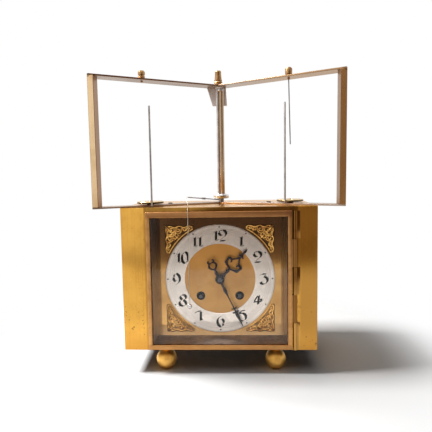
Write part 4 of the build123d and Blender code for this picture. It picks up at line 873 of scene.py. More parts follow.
class CLOCK_OT_stage(bpy.types.Operator):
    """Sets the camera, the pale table, the lamps and the surroundings"""
    bl_idname = "clock.stage"
    bl_label = "Stage"

    def execute(self, context):
        data = bpy.data.cameras.new("camera")
        data.lens = CAMERA_LENS
        data.sensor_width = 36
        data.clip_start = 0.01
        camera = linked("camera", data)
        right = Vector((cos(CAMERA_YAW), sin(CAMERA_YAW), 0))
        level = Vector((-sin(CAMERA_YAW), cos(CAMERA_YAW), 0))
        ahead = level * cos(CAMERA_PITCH) - Z * sin(CAMERA_PITCH)
        up = right.cross(ahead)
        turned_right = right * cos(CAMERA_ROLL) + up * sin(CAMERA_ROLL)
        turned_up = up * cos(CAMERA_ROLL) - right * sin(CAMERA_ROLL)
        pose = Matrix((turned_right, turned_up, -ahead)).transposed().to_4x4()
        pose.translation = at(*CAMERA_PLACE)
        camera.matrix_world = pose
        context.scene.camera = camera
        self.table()
        self.surroundings(context)
        for name, place, size, share in LAMPS:
            lamp_data = bpy.data.lights.new(name, "AREA")
            lamp_data.energy = settings().lamp_power * share
            lamp_data.size = size
            lamp = linked(name, lamp_data)
            lamp.location = place
            lamp.rotation_euler = (LAMP_TARGET - lamp.location).to_track_quat("-Z", "Y").to_euler()
        context.scene.view_settings.view_transform = "Standard"
        return {"FINISHED"}

    def table(self):
        """A pale table top that fades to white away from the clock."""
        bpy.ops.object.select_all(action="DESELECT")
        bpy.ops.mesh.primitive_plane_add(size=6, location=(0, 3 + FLOOR_FRONT, 0))
        floor = named("table_top")
        with Editing(floor):
            bpy.ops.mesh.select_all(action="SELECT")
            bpy.ops.mesh.subdivide(number_cuts=8)
        board = Finish("pale table", roughness=0.7, specular_ior_level=0.2)
        seen = board.ray("Camera").either(board.ray("Glossy"))
        across, along, _ = board.parts(board.place())
        distance = (across * across + along * along).power(0.5)
        fibre = board.noise(900, 3)
        board.feed("Base Color", board.blend(fibre * 0.08, (0.66, 0.66, 0.66), (0.60, 0.60, 0.61)))
        white = board.node("ShaderNodeEmission", None, {"Color": (1, 1, 1, 1), "Strength": 1.0})
        shown = board.node(
            "ShaderNodeMixShader", None,
            {0: seen * distance.ramp(0.16, 0.275), 1: Wire(board, board.shader.outputs[0]), 2: white},
        )
        out = board.tree.nodes["Material Output"]
        board.tree.links.new(shown.socket, out.inputs["Surface"])
        floor.data.materials.append(board.material)

    def surroundings(self, context):
        """White to the eye, a bright room with a dark part in mirrors, and almost no light."""
        world = bpy.data.worlds.new("studio")
        context.scene.world = world
        world.use_nodes = True
        board = Board(world.node_tree)
        across, along, up = board.parts(board.node("ShaderNodeTexCoord", output="Generated"))
        ahead = along.ramp(-0.45, -0.65)
        dark_room = ahead * (1 - up.ramp(0.34, 0.56)) * across.ramp(-0.215, -0.165)
        table_edge = ahead * (1 - up.ramp(-0.185, -0.155)) * 0.7
        reflected = board.blend(dark_room.either(table_edge), (0.95, 0.95, 0.95), (0.24, 0.175, 0.13))
        shiny = board.ray("Glossy").either(board.ray("Transmission"))
        lit = board.blend(shiny, (0.005, 0.005, 0.006), reflected)
        colour = board.blend(board.ray("Camera"), lit, (1, 1, 1))
        background = world.node_tree.nodes["Background"]
        world.node_tree.links.new(colour.socket, background.inputs["Color"])


# ---------------------------------------------------------------- thread and bob
ARM_EYE = (-34.04, 51.12, CASE_TOP + 7.0)           # middle of the eye at the arm's end
THREAD_START = (-35.495, 50.859, CASE_TOP + 7.0)    # where the thread leaves it
THREAD_X = -28.1            # where the thread hangs in front of the door
THREAD_DEPTH = -3.8
THREAD_BEND = 4.8           # the thread starts to bend at this distance from an edge
BOB_CENTRE = (THREAD_X, THREAD_DEPTH, -19.8)
BOB_RADIUS = 2.2


class CLOCK_OT_thread(bpy.types.Operator):
    """Hangs the bob's thread from the arm over the case edge, down in front of the door"""
    bl_idname = "clock.thread"
    bl_label = "Thread and bob"

    def execute(self, context):
        start = Vector(THREAD_START)
        case_edge = Vector((THREAD_X, -0.35, CASE_TOP + 1.0))
        door_edge = Vector((THREAD_X, -3.95, 70.7))
        foot = Vector(BOB_CENTRE) + Z * BOB_RADIUS
        before = case_edge + (start - case_edge).normalized() * THREAD_BEND
        below = Vector((THREAD_X, THREAD_DEPTH, door_edge.z - THREAD_BEND))
        route = [start, before, case_edge, door_edge, below, foot]
        curve = bpy.data.curves.new("thread", "CURVE")
        curve.dimensions = "3D"
        curve.resolution_u = 24
        spline = curve.splines.new("NURBS")
        spline.points.add(len(route) - 1)
        for point, spot in zip(spline.points, route):
            point.co = (*at(*spot), 1)
        spline.order_u = 3
        spline.use_endpoint_u = True
        line = linked("thread_line", curve)
        context.view_layer.update()
        bare = bpy.data.meshes.new_from_object(line)
        curve.bevel_depth = settings().thread_diameter / 2
        curve.bevel_resolution = 2
        curve.use_fill_caps = True
        only(line)
        bpy.ops.object.convert(target="MESH")
        thread = context.object
        thread.name = "hanging_thread"
        smoothed(thread, 60)
        thread.data.materials.append(finish(twisted_thread))
        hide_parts("thread")
        at(*case_edge)
        at(*start)
        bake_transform(thread)
        knot = turned("bob_eye", at(*BOB_CENTRE), Z, [(0.5, 1.9), (0.75, 2.15), (0.6, 2.5), (0.3, 2.7)], 16)
        bob = joined("bob_ball", self.ball(), knot)
        dressed(bob, "case", finish(bright_steel, 2, "polished nickel"), "bob_metal", "bob")
        tuple(at(*start))
        return {"FINISHED"}

    def ball(self):
        """The bob's ball, with a groove round its middle."""
        bpy.ops.object.select_all(action="DESELECT")
        bpy.ops.mesh.primitive_uv_sphere_add(
            segments=32, ring_count=24, radius=BOB_RADIUS * MM, location=at(*BOB_CENTRE)
        )
        ball = named("ball")
        with Editing(ball) as edit:
            seam = at(*BOB_CENTRE).z
            edit.pick(lambda face: abs(face.calc_center_median().z - seam) < 0.16 * MM)
            bpy.ops.mesh.inset(thickness=0.03 * MM, use_even_offset=True)
            bpy.ops.transform.resize(value=(0.96, 0.96, 1), center_override=at(*BOB_CENTRE))
        return smoothed(ball, 60)


# ---------------------------------------------------------------- case
class CLOCK_OT_case(bpy.types.Operator):
    """Rounds and colours the plates of the case"""
    bl_idname = "clock.case"
    bl_label = "Case plates"

    def execute(self, context):
        width = settings().edge_rounding / MM
        for node, run, tone in (
            ("front_plate", 2, "front"), ("back_plate", 2, "case"), ("side_plate_left", 2, "case"),
            ("side_plate_right", 2, "case"), ("base_plate", 0, "base"), ("top_plate", 0, "case"),
        ):
            dressed(softened(node, width), "case", finish(brushed_brass, run, tone), "brass", node)
        return {"FINISHED"}


class CLOCK_OT_feet(bpy.types.Operator):
    """Turns the four ball feet"""
    bl_idname = "clock.feet"
    bl_label = "Ball feet"

    def execute(self, context):
        radius, centre, neck = 10.0, 9.539, 3.0
        lowest, highest = centre - radius, 2 * radius
        profile = [(neck, 0)]
        for step in range(1, 14):
            height = lowest + (highest - lowest) * step / 14
            profile.append((max(neck, (radius**2 - (height - centre) ** 2) ** 0.5), height))
        profile += [
            (3.6, 19.3), (3.5, 19.9), (5.2, 20.4), (5.6, 21.2), (5.2, 21.9), (4.2, 22.4), (4.2, 23.0),
        ]
        low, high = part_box("ball_feet")
        inset = (X + Y) * radius * MM
        near, far = low + inset, high - inset
        across, back = X * (far.x - near.x), Y * (far.y - near.y)
        foot = turned("foot_front_left", Vector((near.x, near.y, 0)), Z, profile, 56)
        others = [
            copied(foot, f"foot_{name}", Matrix.Translation(way))
            for name, way in (("front_right", across), ("back_left", back), ("back_right", across + back))
        ]
        dressed(foot, "case", finish(polished_brass, "foot"), "turned_brass", "ball_feet")
        for other in others:
            dressed(other, "case", finish(polished_brass, "foot"), "turned_brass")
        return {"FINISHED"}


class CLOCK_OT_door(bpy.types.Operator):
    """Finishes the front door, its glass and its hinge"""
    bl_idname = "clock.door"
    bl_label = "Front door"

    def execute(self, context):
        door = softened("door_frame", 0.7, shortest=2.4, segments=3)
        dressed(door, "front_door", finish(polished_brass, "door"), "brass", "door_frame")
        painted(finish(window_glass), "door_glass")
        hinge = softened("front_hinge", 0.2, shortest=2.4)
        dressed(hinge, "case", finish(polished_brass, "hinge"), "brass", "front_hinge")
        return {"FINISHED"}


class CLOCK_OT_back_door(bpy.types.Operator):
    """Rounds and colours the back door and its knob"""
    bl_idname = "clock.back_door"
    bl_label = "Back door"

    def execute(self, context):
        door = softened("back_door", 0.4, shortest=2.4)
        dressed(door, "back_door", finish(brushed_brass, 2, "case"), "brass", "back_door")
        return {"FINISHED"}


# ---------------------------------------------------------------- dial
WINDING_X = 19.5            # the winding holes left, right and below the dial's middle
WINDING_Z = -17.4


class CLOCK_OT_dial(bpy.types.Operator):
    """Colours the dial plate, the recess and the winding squares, and sets a black sleeve in each winding
    hole as painted shade
    """
    bl_idname = "clock.dial"
    bl_label = "Dial plate and recess"

    def execute(self, context):
        painted(finish(dial_brass), "dial_plate")
        painted(finish(dark_lining), "dial_surround")
        # a black sleeve and collar in each winding hole, painted shade so that the hole reads dark
        hole_shade = turned(
            "winding_hole_shade_left", at(-WINDING_X, PLATE_FACE + 0.6, WINDING_Z), -Y,
            [(3.9, 0), (4.0, 0.5), (4.4, 0.75), (4.3, 0.95), (3.6, 0.95), (3.3, 0.4), (3.2, -2.2)], 40,
        )
        other = copied(hole_shade, "winding_hole_shade_right", Matrix.Translation(X * 2 * WINDING_X * MM))
        for piece in (hole_shade, other):
            dressed(piece, "case", finish(dark_steel, "black"), "dark_steel")
        painted(finish(bright_steel, 1, "square"), "going_winding_arbor", "strike_winding_arbor")
        return {"FINISHED"}


# Pen strokes of the figures, across and up from the middle of each, in millimetres
GLYPHS = {
    "0": [[(-1.4, 4.2), (0.2, 5.0), (1.9, 3.9), (2.7, 1.4), (2.7, -0.8), (2.3, -2.6)],
          [(1.4, -4.2), (-0.2, -5.0), (-1.9, -3.9), (-2.7, -1.4), (-2.7, 0.8), (-2.3, 2.6)],
          [(2.3, -2.9), (1.6, -4.1)], [(-2.3, 2.9), (-1.6, 4.1)]],
    "1": [[(0.1, 4.0), (-0.1, -4.0)], [(-2.0, 2.9), (-1.4, 3.4), (-0.8, 3.7)], [(0.9, -3.9), (1.6, -4.2)]],
    "2": [[(-3.3, 2.9), (-2.9, 1.5), (-1.6, 0.5), (-0.1, 0.7)], [(-3.2, 3.3), (-2.3, 4.5), (-0.4, 5.0)],
          [(0.1, 4.9), (2.0, 4.3), (3.1, 2.7), (2.9, 0.9), (1.8, -0.6)],
          [(1.6, -0.9), (-0.6, -2.6), (-2.5, -4.1)], [(-2.3, -4.7), (2.2, -4.7)]],
    "3": [[(-1.5, 4.2), (1.6, 4.3)], [(-3.0, 3.2), (-2.5, 3.7)], [(2.0, 3.8), (0.9, 2.5), (-0.1, 1.6)],
          [(0.0, 1.5), (1.9, 1.2), (3.3, -0.4), (3.2, -2.6), (1.8, -4.4)],
          [(1.6, -4.6), (-0.4, -5.1), (-2.2, -4.5), (-2.8, -3.4)], [(-2.9, -3.2), (-2.2, -3.7)]],
    "4": [[(0.9, 4.0), (0.1, -4.0)], [(-0.2, 4.0), (-2.2, 0.8), (-3.6, -1.6)], [(-3.6, -1.8), (3.2, -1.5)],
          [(2.8, 1.2), (2.9, -0.2), (2.5, -1.2)]],
    "5": [[(-1.3, 4.2), (0.8, 4.6), (2.6, 4.9)], [(2.4, 4.6), (3.0, 5.0)], [(-1.4, 4.0), (-1.8, 1.6)],
          [(-1.5, 1.7), (0.4, 2.1), (2.6, 1.0), (3.4, -1.2), (2.9, -3.5), (1.6, -4.7)],
          [(1.3, -4.9), (-0.5, -5.1), (-2.2, -4.3)]],
    "6": [[(0.9, 5.0), (-0.9, 4.0), (-2.5, 1.9), (-2.9, -0.7), (-2.2, -3.2), (-0.6, -4.8), (0.3, -5.1)],
          [(0.9, 1.9), (2.0, 1.4), (2.7, 0.1), (2.6, -1.6)], [(0.7, -5.0), (1.9, -4.0), (2.5, -2.2)],
          [(0.6, 1.9), (-0.7, 1.0)]],
    "7": [[(-1.6, 4.1), (1.5, 4.4)], [(-3.0, 2.7), (-2.6, 3.6)], [(1.9, 3.9), (1.7, 1.6), (1.7, -1.0)],
          [(1.7, -1.0), (1.6, -2.4), (2.0, -3.4), (2.4, -4.3)], [(1.8, -2.8), (1.3, -3.8), (0.5, -4.7)]],
    "8": [[(-0.6, 4.9), (1.4, 4.9), (2.7, 3.6), (2.6, 1.9), (1.3, 0.5)],
          [(-0.9, 4.8), (-2.1, 3.6), (-1.9, 2.0), (-0.6, 0.6)],
          [(-1.0, 0.3), (-2.8, -1.3), (-3.1, -3.2), (-1.9, -4.9), (0.2, -5.3)],
          [(0.5, -5.3), (2.4, -4.3), (2.8, -2.6), (1.8, -0.9), (0.3, 0.2)]],
}
GLYPHS["9"] = [[(-x, -z) for x, z in path] for path in GLYPHS["6"]]
GLYPH_HEIGHT = 11.2                         # of the strokes above, with the width of the pen
DIGIT_STEP = {10: 5.6, 11: 4.9, 12: 6.0}    # between the middles of two figures
PEN = (1.18, 0.72)                          # half the pen's nib, across and up
DOT_PEN = (0.75, 0)
DOT_CIRCLE = 52.4                           # radius of the circle of dots
DOT_REACH = 0.6                             # half the height of a dot
PAINT = 0.06                                # thickness of paint, a sixth of it in the metal


class CLOCK_OT_numerals(bpy.types.Operator):
    """Turns the silvered chapter ring and paints its hour numerals and dots"""
    bl_idname = "clock.numerals"
    bl_label = "Chapter ring"

    def execute(self, context):
        outer = (RING_HIGH.x - RING_LOW.x) / 2 / MM
        thick = PLATE_FACE - RING_FACE
        foot = Vector(((RING_LOW.x + RING_HIGH.x) / 2, RING_HIGH.y, DIAL_Z))
        ring = turned("chapter_ring_turned", foot, -Y, [
            (RING_BORE, 0), (RING_BORE, thick - 0.35), (RING_BORE + 0.5, thick), (outer - 0.55, thick),
            (outer, thick - 0.4), (outer, 0)], 144, ring=True)
        dressed(ring, "case", finish(silvered), "silvered", "chapter_ring")
        scale = settings().numeral_height / (GLYPH_HEIGHT * MM)
        circle = settings().numeral_circle / MM
        paths, dots = [], []
        for hour in range(1, 13):
            across, up = sin(radians(30 * hour)), cos(radians(30 * hour))
            digits = str(hour)
            for place, digit in enumerate(digits):
                shift = (place - (len(digits) - 1) / 2) * DIGIT_STEP.get(hour, 0)
                paths += [
                    [(circle * across + (shift + x) * scale, circle * up + z * scale) for x, z in path]
                    for path in GLYPHS[digit]
                ]
            dots.append([(DOT_CIRCLE * across, DOT_CIRCLE * up + end) for end in (-DOT_REACH, DOT_REACH)])
        depth = RING_FACE - PAINT / 3
        numerals = joined(
            "hour_numerals", inked("numerals", paths, depth, PAINT, PEN),
            inked("dots", dots, depth, PAINT, DOT_PEN),
        )
        dressed(numerals, "case", finish(dark_steel, "paint"), "dark_steel")
        return {"FINISHED"}


def curl(x, z, radius, start, turns, half):
    """Scroll of nine points that winds inwards from an angle in degrees to a thicker eye."""
    line = []
    for index in range(9):
        share = index / 8
        angle = radians(start) + tau * turns * share
        reach = radius * (1 - 0.78 * share)
        line.append((x + reach * cos(angle), z + reach * sin(angle), half * (0.75 + 0.5 * share)))
    return line


ORNAMENT_CORNER = 54.6      # an ornament's outer corner from the dial's middle, across and up
ORNAMENT_RIM = 57.2         # radius of its inner rim, which follows the chapter ring


class CLOCK_OT_spandrels(bpy.types.Operator):
    """Models one cast corner ornament and sets its copies in the four corners"""
    bl_idname = "clock.spandrels"
    bl_label = "Corner ornaments"

    def execute(self, context):
        # Distances inwards from the corner; the other half mirrors these about the diagonal.
        half_lines = [
            [(1.2, 3.6, 0.7), (5.2, 1.0, 0.75), (10.0, 2.4, 0.7), (14.6, 0.9, 0.65),
             (19.5, 2.2, 0.6), (24.4, 0.9, 0.55), (28.2, 1.9, 0.45)],
            curl(7.6, 5.6, 3.0, 200, 1.15, 0.72),
            curl(13.8, 4.6, 2.5, 250, -1.1, 0.66),
            curl(19.4, 4.4, 2.0, 210, 1.1, 0.58),
            curl(24.2, 3.1, 1.5, 240, -1.05, 0.5),
            curl(12.2, 9.2, 2.5, 20, 1.1, 0.62),
            [(4.6, 4.9, 0.8), (9.0, 8.2, 0.6), (10.9, 11.3, 0.75)],
            [(10.2, 2.6, 0.5), (11.2, 6.4, 0.6), (9.6, 8.8, 0.45)],
            [(16.6, 2.0, 0.5), (16.8, 5.4, 0.6), (15.2, 7.9, 0.5), (13.4, 8.2, 0.4)],
            [(22.0, 1.8, 0.45), (22.0, 4.2, 0.5), (20.4, 5.9, 0.4)],
            [(26.6, 1.4, 0.4), (27.2, 3.0, 0.45), (28.3, 3.6, 0.35)],
        ]
        lines = []
        for line in half_lines:
            lines += [line, [(z, x, half) for x, z, half in line]]
        lines += [
            [(1.0, 1.0, 0.9), (3.6, 3.6, 1.25), (6.4, 6.4, 0.8)],
            [(9.2, 9.2, 0.6), (11.8, 11.8, 1.0), (13.6, 13.6, 0.5)],
            self.rim(), *self.beads(),
        ]
        placed = [
            [(ORNAMENT_CORNER - x, ORNAMENT_CORNER - z, half) for x, z, half in line] for line in lines
        ]
        first = strokes("corner_ornament_1", placed, PLATE_FACE - 0.35, 0.9, 2, 5, 1.45)
        others = []
        centre = Matrix.Translation((0, 0, DIAL_Z))
        for number, across, up in ((2, -1, 1), (3, 1, -1), (4, -1, -1)):
            mirror = centre @ Matrix.Diagonal((across, 1, up, 1)) @ centre.inverted()
            other = copied(first, f"corner_ornament_{number}", mirror)
            with Editing(other) as edit:
                edit.face_outwards()
            others.append(other)
        dressed(first, "case", finish(polished_brass, "cast"), "brass", "spandrels")
        for other in others:
            dressed(other, "case", finish(polished_brass, "cast"), "brass")
        return {"FINISHED"}

    def rim(self):
        """The inner rim, as distances inwards from the ornament's corner."""
        line = []
        for step in range(13):
            angle = radians(207.5 + step * 35 / 12)
            across, up = ORNAMENT_RIM * cos(angle), ORNAMENT_RIM * sin(angle)
            line.append((ORNAMENT_CORNER + across, ORNAMENT_CORNER + up, 0.42))
        return line

    def beads(self):
        """Small leaves strewn between the scrolls, clear of the rim."""
        rnd = random.Random(4)
        found = []
        for _ in range(90):
            x, z = rnd.uniform(0.8, 27.5), rnd.uniform(0.8, 27.5)
            if hypot(x - ORNAMENT_CORNER, z - ORNAMENT_CORNER) > ORNAMENT_RIM + 0.4:
                size = rnd.uniform(0.28, 0.6)
                turn = rnd.uniform(0, tau)
                across, up = size * cos(turn), size * sin(turn)
                found.append([
                    (x + end * across, z + end * up, size * (1 - abs(end) / 2)) for end in (-1, 0, 1)
                ])
        return found


# ---------------------------------------------------------------- hands
def swung(lines, clockwise):
    """Lines drawn along an upright hand, turned clockwise about the dial centre."""
    angle = radians(clockwise)
    return [
        [(v * cos(angle) + u * sin(angle), u * cos(angle) - v * sin(angle), half) for u, v, half in line]
        for line in lines
    ]


def both_sides(lines):
    """Lines drawn along an upright hand, with their mirror images."""
    return lines + [[(u, -v, half) for u, v, half in line] for line in lines]


class CLOCK_OT_hands(bpy.types.Operator):
    """Models the pierced hour and minute hands and turns their nut"""
    bl_idname = "clock.hands"
    bl_label = "Hands"

    def execute(self, context):
        self.hour_hand()
        self.minute_hand()
        foot = Vector((0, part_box("hand_nut")[1].y, DIAL_Z))
        nut = turned("hand_nut_turned", foot, -Y, [
            (2.6, 0), (2.6, 0.5), (2.3, 0.7), (2.3, 1.1), (1.7, 1.5), (1.5, 1.5), (1.45, 2.0),
            (0.9, 2.0)], 40)
        dressed(nut, "minute_hand", finish(bright_steel, 2, "square"), "steel", "hand_nut")
        return {"FINISHED"}

    def boss(self, node, radius, bore):
        """Round middle of a hand, on its pipe."""
        low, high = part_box(node)
        thick = (high.y - low.y) / MM
        return turned(f"{node}_boss", Vector((0, high.y, DIAL_Z)), -Y, [
            (bore, 0), (radius, 0), (radius, thick * 0.7), (radius - 0.25, thick), (bore + 0.5, thick),
            (bore + 0.2, thick * 0.6), (bore, thick * 0.6)])

    def blade(self, node, lines, clockwise, weight):
        """The drawn part of a hand, turned clockwise from twelve to where it points."""
        low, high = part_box(node)
        depth = ((low.y + high.y) / 2 - FRONT_Y) / MM
        return strokes(f"{node}_blade", swung(lines, clockwise), depth, HAND_FLATNESS, 3, 8, weight)

    def hour_hand(self):
        """Two pierced scrolls between the stem and the tip."""
        lines = both_sides([
            [(14.2, 0, 0.9), (15.4, 2.6, 0.75), (16.2, 5.0, 0.95), (17.2, 6.9, 1.35), (19.6, 7.6, 0.85),
             (21.9, 7.8, 1.25), (23.0, 6.2, 0.95), (22.9, 4.6, 1.0)],
            [(16.6, 6.6, 0.9), (16.6, 8.3, 0.35)], [(21.9, 7.4, 0.9), (23.4, 8.9, 0.3)],
            [(22.9, 4.8, 0.95), (21.2, 3.6, 0.7), (20.0, 3.9, 0.4)],
            [(22.9, 4.6, 0.7), (25.4, 2.9, 0.65), (28.0, 0.9, 0.8), (30.6, 0.3, 0.9)],
            [(30.8, 0, 1.2), (31.4, 2.0, 0.95), (30.6, 3.1, 0.4)],
        ])
        lines += [
            [(0, 0, 1.5), (6.0, 0, 1.55), (8.4, 0, 1.0), (10.2, 0, 1.15), (11.8, 0, 1.7), (13.4, 0, 1.1),
             (14.6, 0, 0.8)],
            [(29.6, 0, 1.2), (32.0, 0, 1.9), (33.6, 0, 1.0), (35.0, 0, 0.75), (37.0, 0, 1.2),
             (39.0, 0, 0.85), (40.4, 0, 0.3)],
        ]
        blade = self.blade("hour_hand", lines, 42.5, 1.2)
        hand = joined("hour_hand_pierced", blade, self.boss("hour_hand", 4.6, 3.3))
        dressed(hand, "hour_hand", finish(dark_steel, "blued"), "blued_steel", "hour_hand")

    def minute_hand(self):
        """A long stem with two cross bars, and an open loop at its tail."""
        lines = [
            [(0, 0, 1.4), (6.0, 0, 0.95), (9.0, 0, 1.1), (12.4, 0, 1.6), (15.6, 0, 0.9), (19.0, 0, 0.5),
             (30.0, 0, 0.5), (36.0, 0, 0.8)],
            [(31.3, -3.1, 0.35), (31.9, -1.0, 0.5), (32.1, 0, 0.6), (31.9, 1.0, 0.5), (31.3, 3.1, 0.35)],
            [(35.3, -3.3, 0.75), (35.9, -1.4, 0.8), (36.1, 0, 1.1), (35.9, 1.4, 0.8), (35.3, 3.3, 0.75)],
            [(36.4, 0, 1.0), (38.8, 0, 1.65), (41.6, 0, 1.35), (46.5, 0, 0.75), (52.4, 0, 0.2)],
            [(0, 0, 1.4), (-5.2, 0, 1.2), (-8.0, 0, 1.5), (-10.2, 0, 0.95), (-12.2, 0, 0.8)],
        ] + both_sides([
            [(-11.6, 0, 0.85), (-13.2, 2.3, 0.8), (-15.6, 3.7, 0.95), (-18.2, 2.8, 0.8),
             (-19.6, 0.4, 0.85)],
            [(-15.2, 3.6, 0.85), (-15.9, 5.0, 0.35)],
            [(-18.6, 2.4, 0.75), (-20.8, 2.9, 0.9), (-22.0, 1.9, 0.5)],
        ])
        blade = self.blade("minute_hand", lines, 154.4, 1.15)
        hand = joined("minute_hand_pierced", blade, self.boss("minute_hand", 3.8, 2.4))
        dressed(hand, "minute_hand", finish(dark_steel, "blued"), "blued_steel", "minute_hand")


# ---------------------------------------------------------------- upper frame
class CLOCK_OT_frame(bpy.types.Operator):
    """Rounds the strips and uprights of the open frame"""
    bl_idname = "clock.frame"
    bl_label = "Open frame"

    def execute(self, context):
        width = settings().edge_rounding / MM
        for node, corner in (
            ("lower_strip_left", 0), ("lower_strip_right", 0),
            ("upper_strip_left", 1.3), ("upper_strip_right", 1.3),
        ):
            strip = softened(node, width, shortest=1.0, corner=corner)
            dressed(strip, "case", finish(brushed_brass, 0, "strip"), "brass", node)
        for node in ("upright_left", "upright_right"):
            dressed(softened(node, width), "case", finish(brushed_brass, 2, "frame"), "brass", node)
        return {"FINISHED"}


class CLOCK_OT_turned(bpy.types.Operator):
    """Turns the finial and the two knobs on the upper strips"""
    bl_idname = "clock.turned"
    bl_label = "Finial and knobs"

    def execute(self, context):
        finial = turned("finial_turned", above("finial", FRAME_TOP), Z, [
            (1.2, -3.4), (1.2, 0), (5.7, 0), (6.0, 0.3), (6.0, 1.2), (5.6, 1.6), (4.3, 1.7), (3.8, 2.2),
            (3.8, 2.8), (4.3, 3.2), (4.5, 3.7), (4.3, 4.2), (3.8, 4.5), (3.8, 5.0), (4.1, 5.3), (4.1, 6.0),
            (3.7, 6.4), (3.4, 10.0), (3.2, 13.6), (3.3, 14.2), (3.2, 14.8), (2.8, 15.4), (1.8, 15.8),
            (0.3, 16.0)], 56)
        dressed(finial, "case", finish(polished_brass, "turned"), "turned_brass", "finial")
        for node, collar, sunk, tall in (("knob_left", 2.2, 1.8, 6.8), ("knob_right", 4.7, 2.4, 9.0)):
            low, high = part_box(node)
            base = (low.z - DIAL_Z) / MM - FRAME_TOP
            top = (high.z - DIAL_Z) / MM - FRAME_TOP - sunk
            head = top - tall
            knob = turned(f"{node}_turned", above(node, FRAME_TOP), Z, [
                (0.9, base), (1.12, base + 0.2), (1.12, 0.1), (collar - 0.2, 0.1), (collar, 0.3),
                (collar * 0.9, head - 0.3), (2.0, head), (3.1, head + 0.1), (3.4, head + 0.5),
                (3.4, head + 1.1), (2.5, head + 1.4), (2.5, head + 2.2), (3.4, head + 2.5),
                (3.4, top - 1.9), (3.2, top - 1.2), (2.6, top - 0.9), (2.5, top - 0.4), (1.9, top - 0.1),
                (0.4, top)])
            dressed(knob, node, finish(polished_brass, "turned"), "turned_brass", node)
        painted(finish(bright_steel, 2, "wire"), "guard_wire")
        return {"FINISHED"}


SCREW_X = 50.0              # the strip screws, left and right of the middle of the case
SCREW_DEPTH = 37.045        # and behind the case front
STRIP_FACE = (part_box("lower_strip_left")[1].z - DIAL_Z) / MM


class CLOCK_OT_discs(bpy.types.Operator):
    """Turns the two adjusting discs, their posts and the screws of the lower strips"""
    bl_idname = "clock.discs"
    bl_label = "Discs, posts and screws"

    def execute(self, context):
        place, thick = standing("disc_left")
        disc = turned("disc_left_turned", place, Z, [
            (12.4, 0), (13.0, 0.35), (13.0, thick - 0.5), (12.7, thick - 0.15), (12.2, thick),
            (11.3, thick), (11.1, thick - 0.12), (10.9, thick), (3.4, thick), (3.2, thick - 0.3),
            (1.2, thick - 0.3)], 72)
        pivot = turned("disc_pivot_left", above("disc_left", STRIP_FACE), Z, [
            (3.3, 0), (3.4, 0.2), (3.4, 1.0), (1.1, 1.1), (1.1, 3.4), (2.1, 3.5), (2.25, 3.7), (2.0, 4.0),
            (1.0, 4.1)], 32)
        pivot = slotted(pivot, above("disc_left", STRIP_FACE + 4.1), X, 0.5)
        place, height = standing("post_left")
        post = turned("post_left_turned", place, Z, [
            (0.6, 0), (0.9, 0.3), (0.9, height - 0.7), (0.8, height - 0.3), (0.45, height - 0.05),
            (0.1, height)], 24)
        aside = Matrix.Translation(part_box("disc_right")[0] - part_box("disc_left")[0])
        post_aside = Matrix.Translation(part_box("post_right")[0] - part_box("post_left")[0])
        for side, disc, pivot, post in (
            ("left", disc, pivot, post),
            ("right", copied(disc, "disc_right_turned", aside), copied(pivot, "disc_pivot_right", aside),
             copied(post, "post_right_turned", post_aside)),
        ):
            dressed(disc, f"disc_{side}", finish(polished_brass, "disc"), "brass", f"disc_{side}")
            dressed(post, f"disc_{side}", finish(bright_steel, 2, "steel"), "steel", f"post_{side}")
            dressed(pivot, "case", finish(polished_brass, "turned"), "steel")
        place = at(-SCREW_X, SCREW_DEPTH, STRIP_FACE)
        screw = turned("strip_screw_left", place, Z, [
            (1.1, -4.6), (1.1, 0), (2.1, 0), (2.25, 0.15), (2.25, 0.6), (1.9, 0.9), (1.1, 1.0),
            (0.2, 1.0)], 32)
        screw = slotted(screw, place + Z * MM, Y, 0.45)
        other = copied(screw, "strip_screw_right", Matrix.Translation(X * 2 * SCREW_X * MM))
        dressed(screw, "case", finish(dark_steel, "black"), "steel", "frame_screws")
        dressed(other, "case", finish(dark_steel, "black"), "steel")
        return {"FINISHED"}


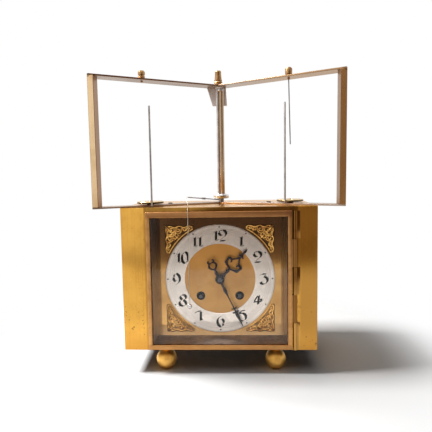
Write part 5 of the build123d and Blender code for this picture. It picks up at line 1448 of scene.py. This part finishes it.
# ---------------------------------------------------------------- spindle, arm and bracket
class CLOCK_OT_spindle(bpy.types.Operator):
    """Models the upright spindle, its collar, the top bracket and the arm"""
    bl_idname = "clock.spindle"
    bl_label = "Spindle and arm"

    def execute(self, context):
        foot, height = standing("spindle_column")
        shoulder = height - 2.0
        rod = turned("spindle_rod", foot - X * 2.5 * MM, Z, [
            (1.3, 0), (1.45, 0.2), (1.45, shoulder - 0.2), (1.3, shoulder)], 24)
        tube = turned("spindle_tube", foot + X * 1.35 * MM, Z, [
            (2.5, 0), (2.6, 0.2), (2.6, shoulder - 0.2), (2.4, shoulder)], 40)
        pivot = turned("spindle_pivot", foot, Z, [
            (3.6, shoulder - 2.4), (4.0, shoulder - 2.1), (4.0, shoulder - 0.3), (3.6, shoulder),
            (1.0, shoulder), (1.0, height - 0.1), (0.8, height)], 40)
        dressed(tube, "spindle", finish(brushed_brass, 2, "tube"), "brass", "spindle_column")
        dressed(joined("spindle_steel", rod, pivot), "spindle", finish(bright_steel, 2, "rod"), "steel")
        low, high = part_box("spindle_collar")
        rise = (high.z - low.z) / MM
        collar = turned("spindle_collar_turned", Vector((foot.x, foot.y, low.z)), Z, [
            (1.6, 0), (7.2, 0), (8.0, 0.4), (8.2, 0.9), (8.2, rise - 1.4), (7.8, rise - 0.9),
            (6.6, rise - 0.7), (6.2, rise - 0.2), (5.6, rise), (1.6, rise)], 64)
        dressed(collar, "spindle", finish(bright_steel, 2, "polished nickel"), "nickel", "spindle_collar")
        bracket = softened("bracket", 0.35, shortest=1.5)
        dressed(bracket, "case", finish(bright_steel, 2, "nickel"), "nickel", "bracket")
        self.arm()
        return {"FINISHED"}

    def arm(self):
        """The arm's hub on the spindle, its thin rod with a thicker part, and the eye at its end."""
        foot, _ = standing("spindle_column")
        foot.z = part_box("arm")[0].z
        hub = turned("arm_hub", foot, Z, [
            (1.6, 0), (2.6, 0), (2.8, 0.25), (2.8, 2.9), (2.5, 3.2), (1.6, 3.2)], 32)
        start, tip = above("spindle_column", CASE_TOP + 3.6), at(*ARM_EYE)
        length = (tip - start).length / MM
        rod = turned("arm_rod", start, (tip - start).normalized(), [
            (0.55, 1.5), (0.6, 1.8), (0.6, 16.8), (1.0, 17.0), (1.1, 17.3), (1.1, 20.7), (1.0, 21.0),
            (0.6, 21.2), (0.6, length - 1.4), (0.45, length - 0.7)], 20)
        bpy.ops.object.select_all(action="DESELECT")
        bpy.ops.mesh.primitive_torus_add(
            location=tip, major_radius=0.68 * MM, minor_radius=0.22 * MM,
            major_segments=24, minor_segments=10,
        )
        eye = smoothed(named("arm_eye"), 60)
        arm = joined("arm_wire", hub, rod, eye)
        dressed(arm, "spindle", finish(bright_steel, 0, "wire"), "dark_steel", "arm")


class CLOCK_OT_movement(bpy.types.Operator):
    """Colours the plates, wheels and arbors of the movement"""
    bl_idname = "clock.movement"
    bl_label = "Movement"

    def execute(self, context):
        painted(
            finish(brushed_brass, 0, "inside"), "movement_front_plate", "movement_back_plate", "pillars",
            "spindle_cock", "going_barrel", "strike_barrel", "centre_wheel", "third_wheel",
            "contrate_wheel", "pin_wheel", "fly", "minute_wheel", "hour_wheel", "cannon_pinion",
        )
        steel = finish(bright_steel, 0, "steel")
        painted(steel, "gong", "hammer", "going_click", "strike_click", "spindle_arbor")
        return {"FINISHED"}


STEPS = (
    CLOCK_OT_stage, CLOCK_OT_thread, CLOCK_OT_case, CLOCK_OT_feet, CLOCK_OT_door, CLOCK_OT_back_door,
    CLOCK_OT_dial, CLOCK_OT_numerals, CLOCK_OT_spandrels, CLOCK_OT_hands, CLOCK_OT_frame, CLOCK_OT_turned,
    CLOCK_OT_discs, CLOCK_OT_spindle, CLOCK_OT_movement,
)


class CLOCK_PT_panel(bpy.types.Panel):
    """Sizes, colours and the steps that make the clock"""
    bl_idname = "CLOCK_PT_panel"
    bl_label = "Clock finish"
    bl_space_type = "VIEW_3D"
    bl_region_type = "UI"
    bl_category = "Clock"

    def draw(self, context):
        for name in ClockFinishSettings.__annotations__:
            self.layout.prop(context.scene.clock_finish, name)
        for step in STEPS:
            self.layout.operator(step.bl_idname)


CLASSES = (ClockFinishSettings, *STEPS, CLOCK_PT_panel)


def register():
    for made in CLASSES:
        bpy.utils.register_class(made)
    bpy.types.Scene.clock_finish = bpy.props.PointerProperty(type=ClockFinishSettings)


def unregister():
    del bpy.types.Scene.clock_finish
    for made in reversed(CLASSES):
        bpy.utils.unregister_class(made)


def main():
    register()
    for step in STEPS:
        group, name = step.bl_idname.split(".")
        getattr(getattr(bpy.ops, group), name)()


if __name__ == "__main__":
    main()
